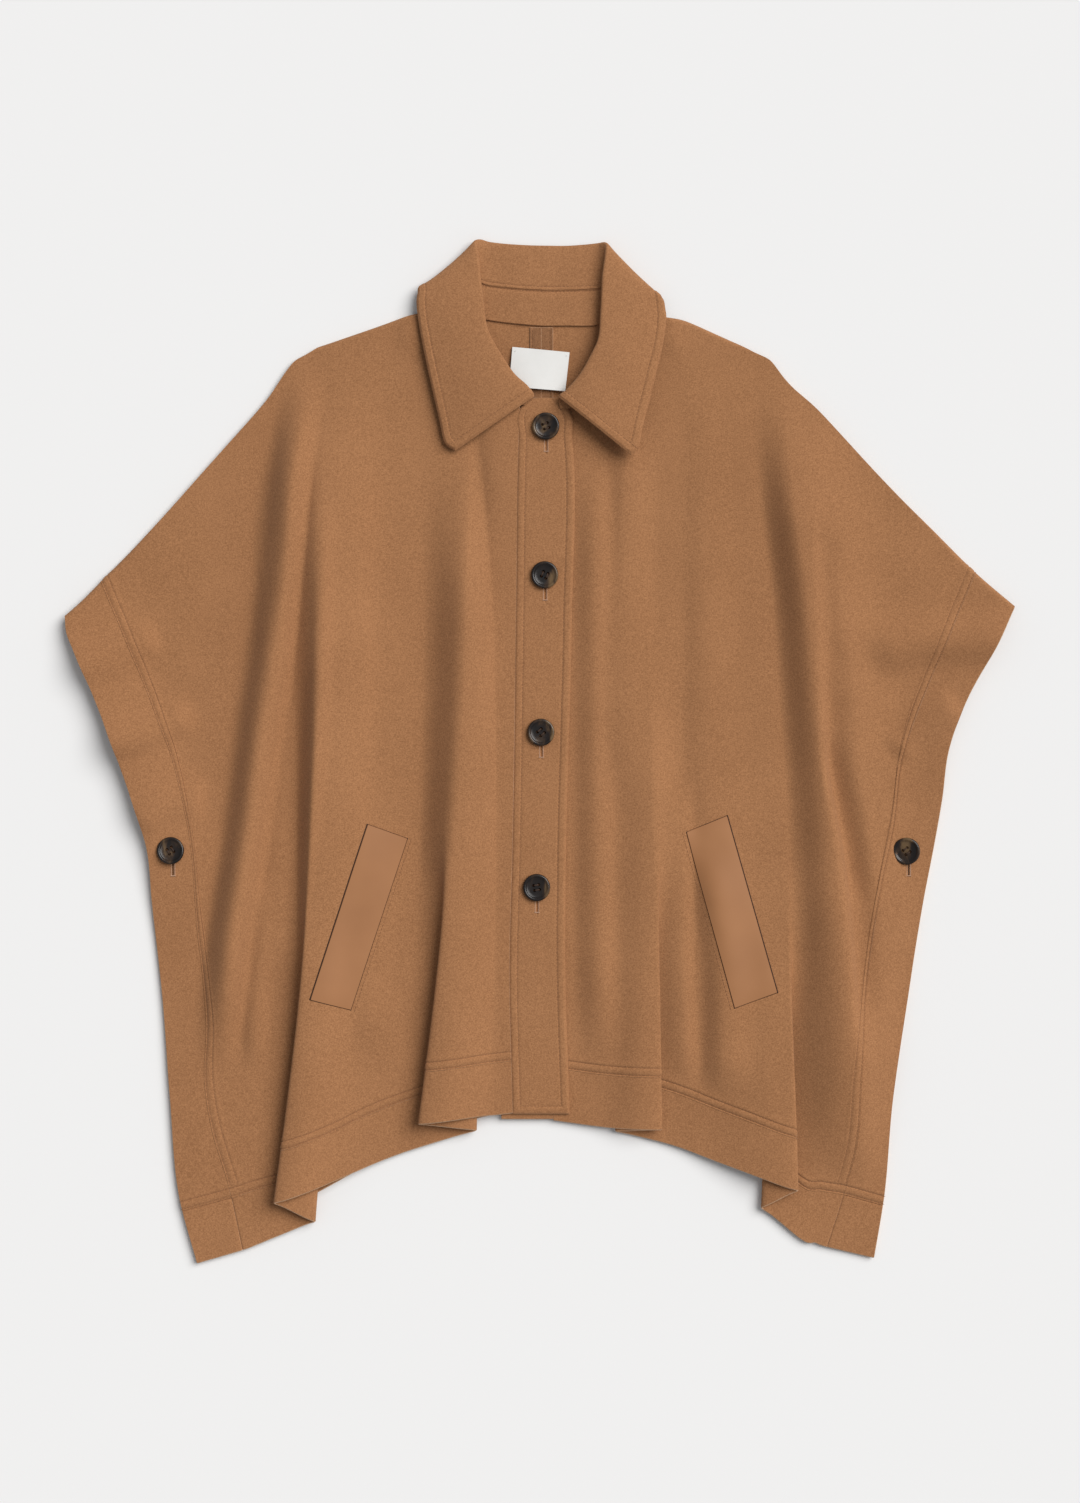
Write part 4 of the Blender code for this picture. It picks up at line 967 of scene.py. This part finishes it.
# ---------------------------------------------------------------- underlap and placket
# The wearer's left front ends in a plain underlap, which shows only at the neck and the hem. The right
# front ends in a placket of doubled wool, edge-stitched all round, with a buttonhole under each button.
UNDERLAP_RIGHT = line_of((-27, 317), (-29, 120), (-33, -100), (-36, -342))
PLACKET_RIGHT = [Point(-10, 327)] + PLACKET_EDGE
PLACKET_LEFT = line_of((17, 327), (26, 317), (29, 290), (28.5, 120), (23, -100), (22.5, -200),
    (26.5, -337))
Button = namedtuple("Button", "name x y turn")
BUTTONS = [
    Button("button_1", 5, 301, 20), Button("button_2", 4, 163, 65), Button("button_3", 0.5, 17, 40),
    Button("button_4", -3.5, -127, 10), Button("button_side_right", -343, -93, 120),
    Button("button_side_left", 340, -93, 215),
]
RADIUS = 12.7  # of a button
EDGE_STITCH = 7.0
SLIT_LENGTH = 13.0
SLIT_ASIDE = 0.4
PLACKET_HEM_Y = -337


def strip_grid(right, left, ys, columns, z):
    """A flat strip. columns are shares of its width, from its right edge to its left one."""
    right_x, left_x = across(right, ys), across(left, ys)
    x = right_x[:, None] + (left_x - right_x)[:, None] * np.asarray(columns)
    return np.dstack([x, np.broadcast_to(ys[:, None], x.shape), np.full_like(x, z)])


ys = np.concatenate([np.arange(317, -342, -6.0), [-342]])
grid = strip_grid(UNDERLAP_RIGHT, UNDERLAP_EDGE, ys, np.linspace(0, 1, 16), UNDERLAP_Z)
made = cloth_mesh("underlap_cloth", grid, CLOTH, [wool, cut_wool], bulge=0.6)
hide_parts("underlap")
lay(grid)

# the columns and rows lie closest at the edges, the stitches and the slits
half = np.concatenate([[0, 0.006, 0.02, 0.045, 0.08], np.arange(0.105, 0.175, 0.01),
                       [0.20, 0.24, 0.29, 0.34, 0.39], np.arange(0.43, 0.50, 0.0075)])
columns = np.concatenate([half, 1 - half[::-1]])
ys = np.concatenate([[327, 326.4, 325, 323], np.arange(320, -326, -2.5), np.arange(-326, -334, -0.75),
                     [-335, -336.4, PLACKET_HEM_Y]])
grid = strip_grid(PLACKET_RIGHT, PLACKET_LEFT, ys, columns, PLACKET_Z)
x, y = grid[..., 0], grid[..., 1]
from_right, from_left, from_hem = x - x[:, :1], x[:, -1:] - x, y - PLACKET_HEM_Y
inside = np.minimum(np.minimum(from_right, from_left), from_hem)
relief = 0.45 * (1 - rise(4, 9, inside)) - groove(inside - EDGE_STITCH, 0.5, 0.8)
relief -= 0.9 * (1 - rise(0, 1.8, inside)) ** 2
relief += 0.25 * ripple(x, y, 18, 40, 9)
slits = []
for button in BUTTONS[:4]:
    aside, along = x - button.x - SLIT_ASIDE, y - (button.y - RADIUS)
    slit = np.exp(-((aside / 0.9) ** 2)) * (np.abs(along + SLIT_LENGTH / 2 - 3) < SLIT_LENGTH / 2 + 1.5)
    relief -= 1.5 * slit
    slits.append((button.x + SLIT_ASIDE, button.y - RADIUS))
made = cloth_mesh("placket_cloth", grid, PLACKET_CLOTH, [wool], relief, bulge=0.8)
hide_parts("placket")
lay(grid)

face = grid + np.dstack([x * 0, x * 0, relief + PLACKET_CLOTH / 2 + 0.05])
low = EDGE_STITCH + PLACKET_HEM_Y
right = [(across(PLACKET_RIGHT, v) + EDGE_STITCH, v) for v in np.arange(316, low, -4.0)]
left = [(across(PLACKET_LEFT, v) - EDGE_STITCH, v) for v in np.arange(316, low, -4.0)]
row = right + [(right[-1][0], low), (left[-1][0], low)] + left[::-1]
read = height_of(face)
placket_top = PLACKET_Z + PLACKET_CLOTH / 2
sew("placket_topstitch", [[(px, py, read(px, py) or placket_top) for px, py in row]], thread)

hole_thread = thread_finish("buttonhole_thread", (0.36, 0.20, 0.12), (0.56, 0.36, 0.25))
BEAD = (0.62, 0.75, 0.55)  # pitch, length and radius of its stitches
BAR = (0.5, 0.7, 0.75)


def buttonhole(x, top, upper_z, lower_z):
    """A bead of close stitches on each side of the part of the slit that shows, and a bar below it."""
    low = top - SLIT_LENGTH + 3
    sides = [[(x + d, top + 6, upper_z), (x + d, low, lower_z)] for d in (-1.7, 1.7)]
    bar = [(x + d, low - 0.5, lower_z) for d in (-2.1, 2.1)]
    return sides, [bar]


beads, bars = [], []
for x_at, top in slits:
    sides, bar = buttonhole(x_at, top, placket_top - 0.25, placket_top - 0.25)
    beads, bars = beads + sides, bars + bar
sew("buttonhole_beads", beads, hole_thread, *BEAD)
sew("buttonhole_bars", bars, hole_thread, *BAR)

# ---------------------------------------------------------------- collar
# The shirt collar is one leaf on a low stand. It rolls over at the back and comes down to a point on each
# front. A row of stitches runs inside its edge, and another pair beside the seam of the stand.
# Each station is a cut through it, from the wearer's right end of the leaf round to the left. A row
# holds the x and y of the neck seam, of the fold and of the outer edge, and then the four heights.
Station = namedtuple("Station", "seam roll edge stand_z roll_z fall_z edge_z")
COLLAR_STATIONS = [
    (-15, 321, -6, 329, -79, 279, 10.6, 13.6, 15.5, 12.0),
    (-24, 323, -12, 338, -88, 286, 9.6, 14.2, 16.4, 12.0),
    (-38, 329, -23, 348, -93, 307, 8.6, 15.0, 17.0, 12.4),
    (-51, 339, -32, 360, -99, 333, 8.0, 15.8, 17.4, 12.8),
    (-62, 353, -41, 374, -105, 360, 7.6, 16.2, 17.4, 13.0),
    (-69, 372, -49, 391, -110, 385, 7.4, 16.2, 17.2, 13.0),
    (-71, 390, -52, 408, -113, 404, 7.4, 16.0, 16.8, 12.8),
    (-71, 403, -54, 425, -114, 417, 7.4, 15.6, 16.0, 12.4),
    (-69, 412, -56, 442, -113, 425, 7.2, 14.4, 14.4, 11.2),
    (-65, 416, -58, 458, -113, 429, 6.8, 12.6, 11.6, 9.2),
    (-59, 408, -60, 471, -110, 428, 6.4, 9.4, 7.6, 5.8),
    (-54, 402, -55, 474, -107, 425, 6.1, 5.2, 2.8, 2.0),
    (-47, 400, -46, 472, -101, 417, 6.1, 2.8, 1.2, 1.1),
    (-24, 397, -24, 470, -60, 398, 6.1, 2.4, 1.1, 1.1),
    (1, 395, 1, 469, 1, 391, 6.1, 2.4, 1.1, 1.1),
    (24, 395, 24, 469, 58, 395, 6.1, 2.4, 1.1, 1.1),
    (48, 395, 50, 471, 101, 412, 6.1, 2.8, 1.2, 1.1),
    (57, 398, 59, 471, 107, 419, 6.1, 9.0, 4.6, 2.6),
    (62, 406, 61, 467, 110, 422, 6.4, 14.0, 9.6, 6.0),
    (68, 413, 60, 457, 112, 421, 6.8, 16.6, 13.0, 9.2),
    (73, 410, 58, 442, 114, 417, 7.2, 18.2, 14.8, 10.2),
    (76, 401, 57, 425, 115, 411, 7.4, 19.0, 16.4, 10.4),
    (76, 388, 56, 407, 116, 400, 7.4, 19.6, 17.8, 11.0),
    (74, 369, 54, 382, 113, 377, 7.4, 20.2, 19.4, 12.6),
    (67, 349, 46, 364, 107, 352, 7.6, 20.4, 21.2, 15.0),
    (55, 335, 38, 350, 101, 327, 8.0, 20.2, 23.0, 17.8),
    (42, 325, 30, 340, 95, 304, 8.6, 19.8, 24.4, 20.2),
    (28, 319, 22, 332, 90, 282, 9.6, 19.4, 25.0, 22.0),
    (19, 318, 17, 328, 84, 274, 10.6, 18.8, 25.0, 22.6),
]
# Each section climbs the stand, turns over the roll and comes down the fall.
Section = namedtuple("Section", "start end share height")
COLLAR_SECTION = [
    Section("seam", "roll", 0.00, {"stand_z": 1.00}),
    Section("seam", "roll", 0.45, {"stand_z": 0.85, "roll_z": 0.15}),
    Section("seam", "roll", 0.88, {"stand_z": 0.50, "roll_z": 0.50}),
    Section("seam", "roll", 1.04, {"stand_z": 0.10, "roll_z": 0.90}),
    Section("roll", "edge", 0.08, {"roll_z": 0.55, "fall_z": 0.45}),
    Section("roll", "edge", 0.50, {"fall_z": 1.00}),
    Section("roll", "edge", 1.00, {"edge_z": 1.00}),
]
STAND_ENDS = (11.5, 16.5)
stations = []
for numbers in COLLAR_STATIONS:
    plans = [Point(*numbers[k:k + 2]) for k in (0, 2, 4)]
    station = Station(*plans, *numbers[6:])
    row = []
    for part in COLLAR_SECTION:
        plan = between(getattr(station, part.start), getattr(station, part.end), part.share)
        row.append((*plan, sum(getattr(station, key) * share for key, share in part.height.items())))
    stations.append(row)
stations = np.array(stations, float)
last_station = len(stations) - 1
SEAM_SHARE = 0.006
end_steps = np.array([0, 0.01, 0.03, 0.07, 0.13, 0.2, 0.27, 0.34, 0.41, 0.48, 0.54, 0.6, 0.66, 0.72,
                      0.8, 0.9])
along = np.concatenate([end_steps, np.arange(1, last_station - 1 + 0.01, 0.125),
                        last_station - end_steps[::-1]])
along = np.unique(np.concatenate([along[np.all([np.abs(along - e) > 0.03 for e in STAND_ENDS], axis=0)],
                                  *[[e - SEAM_SHARE, e + SEAM_SHARE] for e in STAND_ENDS]]))
places = np.concatenate([
    np.arange(0, 0.9, 0.09), [0.93, 0.96, 0.975, 1 - SEAM_SHARE, 1 + SEAM_SHARE, 1.025, 1.05, 1.075, 1.1],
    [1.13, 1.18], np.arange(1.25, 5.1, 0.075), np.arange(5.1, 5.68, 0.04), np.arange(5.68, 5.97, 0.018),
    [5.975, 5.988, 6]])
seam_row = int(np.argmin(np.abs(places - (1 - SEAM_SHARE))))
# the stations are joined by a smooth curve that passes through each of them
known = np.arange(len(stations))
joined = np.stack([np.stack([through(known, stations[:, p, axis], along) for axis in range(3)], axis=1)
                   for p in range(len(COLLAR_SECTION))], axis=1)
grid = np.einsum("pk,ski->spi", spline_weights(len(COLLAR_SECTION), places), joined)
under_stand = slice(0, seam_row + 12)
for side in (RIGHT, LEFT):
    grid[:, under_stand] = rest_on(grid[:, under_stand].copy(), front_height[side], LAYER)
    grid[:, under_stand] = rest_on(grid[:, under_stand].copy(), back_height[side], LAYER)

steps = np.linalg.norm(np.diff(grid, axis=1), axis=2)
none_yet = np.zeros((len(grid), 1))
to_edge = np.hstack([np.cumsum(steps[:, ::-1], axis=1)[:, ::-1], none_yet])
from_seam = np.hstack([none_yet, np.cumsum(steps, axis=1)])
from_seam = from_seam - from_seam[:, seam_row:seam_row + 1]
steps = np.linalg.norm(np.diff(grid, axis=0), axis=2)
from_start = np.vstack([np.zeros((1, grid.shape[1])), np.cumsum(steps, axis=0)])
to_end = from_start[-1] - from_start
nearest_end = np.minimum(from_start, to_end)
inside = np.minimum(to_edge, nearest_end + 60 * (1 - rise(1.6, 2.6, places))[None, :])
COLLAR_STITCH = 7.5
STAND_ROWS = (-1.2, 3.4)  # rows of stitches on each side of the stand's seam
relief = 0.55 * (1 - rise(5, 10, inside)) - groove(inside - COLLAR_STITCH, 0.55, 0.85)
relief -= 0.9 * (1 - rise(0, 2.0, inside)) ** 2
relief += (0.7 * rise(0.1, 0.4, from_seam) * (1 - rise(3.4, 5.4, from_seam))
           - groove(from_seam - STAND_ROWS[1], 1.0, 0.9))
relief -= groove(from_seam - STAND_ROWS[0], 0.9, 0.9)
relief += 0.5 * ripple(grid[..., 0], grid[..., 1], 30, 30, 5.0)
normals = normals_of(grid)
# the fall is pressed flat where it lies face down at the back
relief = np.where(normals[..., 2] < 0, np.minimum(relief, grid[..., 2] - CLOTH / 2), relief)

middle_along = (along[1:] + along[:-1]) / 2
seam_at_end = np.array([min(abs(m - end) for end in STAND_ENDS) < 0.001 for m in middle_along])
at_back = (middle_along > STAND_ENDS[0]) & (middle_along < STAND_ENDS[1]) & ~seam_at_end
stand = np.zeros((len(along) - 1, len(places) - 1), bool)
stand[at_back, :seam_row] = True
leaf = np.ones_like(stand)
leaf[at_back | seam_at_end, :seam_row + 1] = False
for name, keep, edge_bulge in (("collar_stand", stand, 0.6), ("collar", leaf, 0.9)):
    made = cloth_mesh(f"{name}_cloth", grid, CLOTH, [wool], relief, keep, edge_bulge, normals, proud=0)
    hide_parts(name)
    lay(grid, keep)

face = grid + normals * (CLOTH / 2 + relief + 0.05)[..., None]


def at_level(field, line, level):
    """Where a field falls to a level along a line of the collar's points."""
    below = np.nonzero(field < level)[0]
    if len(below) == 0 or below[0] == 0:
        return None
    k = below[0]
    share = (field[k - 1] - level) / (field[k - 1] - field[k])
    return line[k - 1] + (line[k] - line[k - 1]) * share


edge_row = [at_level(to_edge[i], face[i], COLLAR_STITCH) for i in range(len(grid))
            if min(np.interp(-COLLAR_STITCH, -to_edge[i], nearest_end[i]), 99) > COLLAR_STITCH]
half_way = len(grid) // 2
end_rows = []
for order in (slice(half_way, None), slice(half_way, None, -1)):
    row = []
    for j in range(int(np.argmax(places > 2.6)), grid.shape[1]):
        if places[j] < 6 and to_edge[-1 if order.step is None else 0, j] >= 1:
            row.append(at_level(nearest_end[order, j], face[order, j], COLLAR_STITCH))
    end_rows.append([p for p in row if p is not None])
seam_rows = []
for distance in STAND_ROWS:
    row = []
    for i in range(len(grid)):
        if STAND_ENDS[0] - 1 < along[i] < STAND_ENDS[1] + 1:
            row.append([np.interp(distance, from_seam[i, :60], face[i, :60, axis]) for axis in range(3)])
    seam_rows.append(row)
sew("collar_topstitch", [[p for p in edge_row if p is not None], *end_rows], thread)
sew("collar_stand_topstitch", seam_rows, thread)

# ---------------------------------------------------------------- buttons
# Six buttons of dark horn with amber patches, each turned with a rim and a dished face, drilled with four
# holes and sewn on with dark thread. The ones on the arms close the sides. Each has its buttonhole.
HOLE = 1.1
HOLE_SPACING = 4.6
PROFILE = [(0, 0), (8.6, 0), (10.2, 0.3), (11.6, 0.9), (12.4, 1.7), (RADIUS, 2.4), (12.62, 3.1),
           (12.25, 3.75), (11.6, 4.15), (10.9, 4.2), (10.2, 4.0), (9.7, 3.55), (9.3, 3.15), (8.6, 2.9),
           (6.4, 2.72), (3.0, 2.62), (0, 2.6)]
DRILL_PROFILE = [(0, -2), (HOLE, -2), (HOLE, 2.15), (HOLE + 0.5, 2.75), (HOLE + 0.5, 8), (0, 8)]
SIDES_ROUND, SIDES_OF_HOLE = 72, 24
# A thread goes from hole to hole over the face: how far along it is, and how high.
THREAD_BOW = [(0, 0.0), (0.12, 2.5), (0.3, 3.05), (0.5, 3.15), (0.7, 3.05), (0.88, 2.5), (1, 0.0)]

horn, shade = start_finish("buffalo_horn")
place = shade.where()
streak = shade.node("ShaderNodeMapping", {}, {
    "Vector": place, "Rotation": (0, 0, 0.5), "Scale": (1.0, 0.45, 1.0)})
patches = streak.mottle(85.0, 3.0, {"Roughness": 0.45, "Distortion": 0.6})
grain = streak.mottle(900.0, 3.0)
dark_to_amber = shade.node("ShaderNodeValToRGB", {"stops": [
    (0.30, (0.005, 0.004, 0.004, 1)), (0.47, (0.011, 0.007, 0.006, 1)), (0.55, (0.036, 0.020, 0.011, 1)),
    (0.66, (0.13, 0.080, 0.038, 1))]}, {"Fac": patches + grain * 0.06 - 0.03})
scratches = place.mottle(400.0, 4.0)
bump = grain.bump(0.08, 0.0001)
shade.surface({"Base Color": dark_to_amber, "Roughness": scratches * 0.16 + 0.20,
               "Specular IOR Level": 0.4, "Normal": bump})


def turned(name, profile, sides):
    """A closed turned body in millimetres, from the axis below to the axis above."""
    shape = bpy.data.meshes.new(name)
    angles = [2 * math.pi * k / sides for k in range(sides)]
    points = [(0, 0, profile[0][1])]
    for r, z in profile[1:-1]:
        points += [(r * math.cos(angle), r * math.sin(angle), z) for angle in angles]
    points.append((0, 0, profile[-1][1]))
    last_ring = 1 + (len(profile) - 3) * sides
    faces = []
    for k in range(sides):
        after = (k + 1) % sides
        faces.append((0, 1 + after, 1 + k))
        for ring in range(len(profile) - 3):
            a, b = 1 + ring * sides, 1 + (ring + 1) * sides
            faces.append((a + k, a + after, b + after, b + k))
        faces.append((last_ring + k, last_ring + after, len(points) - 1))
    shape.from_pydata(points, [], faces)
    return put(name, shape)


blank = turned("button_blank", PROFILE, SIDES_ROUND)
out_to_hole = HOLE_SPACING / 2 * math.sqrt(2)
spots = [(out_to_hole * math.cos(a), out_to_hole * math.sin(a))
         for a in (math.pi / 4 + math.pi / 2 * k for k in range(4))]
drills = []
for k, (x_at, y_at) in enumerate(spots):
    drill = turned(f"drill_{k}", DRILL_PROFILE, SIDES_OF_HOLE)
    drill.data.transform(Matrix.Translation((x_at, y_at, 0)))
    drills.append(drill)
    cut = blank.modifiers.new(drill.name, "BOOLEAN")
    cut.operation = "DIFFERENCE"
    cut.solver = "EXACT"
    cut.object = drill
graph = bpy.context.evaluated_depsgraph_get()
drilled = bpy.data.meshes.new_from_object(blank.evaluated_get(graph), depsgraph=graph)
for helper in [blank, *drills]:
    bpy.data.objects.remove(helper)
button_thread = thread_finish("button_thread", (0.032, 0.018, 0.012), (0.08, 0.044, 0.029))

for button in BUTTONS:
    slope_x = slope_y = 0.0
    on_arm = "side" in button.name
    if on_arm:
        read = front_height[RIGHT if button.x < 0 else LEFT]
        reach = RADIUS * 0.8
        slope_x = (read(button.x + reach, button.y) - read(button.x - reach, button.y)) / (2 * reach)
        slope_y = (read(button.x, button.y + reach) - read(button.x, button.y - reach)) / (2 * reach)
        seat = read(button.x, button.y) + CLOTH / 2
        # it rests on the highest cloth under its disc
        under_disc = [(r * math.cos(a), r * math.sin(a))
                      for r in (4, 8, RADIUS) for a in np.arange(16) * math.pi / 8]
        highest = max(read(button.x + dx, button.y + dy) + CLOTH / 2 - seat - slope_x * dx - slope_y * dy
                      for dx, dy in under_disc)
        base = seat + max(highest, 0) + 0.5
    else:
        base = placket_top + CLEAR
    tilt = Euler((math.atan(slope_y), -math.atan(slope_x), math.radians(button.turn)))
    placing = Matrix.Translation((button.x, button.y, base)) @ tilt.to_matrix().to_4x4()
    shape = drilled.copy()
    shape.name = f"{button.name}_horn"
    shape.materials.clear()
    shape.materials.append(horn)
    shape.transform(Matrix.Scale(MM, 4) @ placing)
    shape.shade_smooth()
    shape.set_sharp_from_angle(angle=math.radians(40))
    made = put(f"{button.name}_horn", shape)
    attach(made, "root")
    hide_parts(button.name)
    paths = []
    for a, b in ((0, 1), (2, 3)):
        for shift in (-0.28, 0.28):
            (ax, ay), (bx, by) = spots[a], spots[b]
            dx = shift if abs(ay - by) > 1 else 0
            dy = shift if abs(ax - bx) > 1 else 0
            paths.append([placing @ Vector((ax + (bx - ax) * t + dx, ay + (by - ay) * t + dy, z))
                          for t, z in THREAD_BOW])
    sew(f"{button.name}_thread", paths, button_thread, 0.5, 0.9, 0.42, "horn")
    if on_arm:
        x_at, top = button.x + 2, button.y - RADIUS
        upper_z, lower_z = (read(x_at, top - d) + CLOTH / 2 + 0.1 for d in (-6, 10))
        sides, bar = buttonhole(x_at, top, upper_z, lower_z)
        sew(f"{button.name}_hole_bead", sides, hole_thread, *BEAD)
        sew(f"{button.name}_hole_bar", bar, hole_thread, *BAR)
        # painted shadow: a near-black row down the slit, where the opening shows dark
        slit = np.mean(sides, axis=0) - [0, 0, 0.05]
        sew(f"{button.name}_hole_painted_shadow", [slit], ditch_and_shadow_thread, 0.6, 1.2, 0.6)
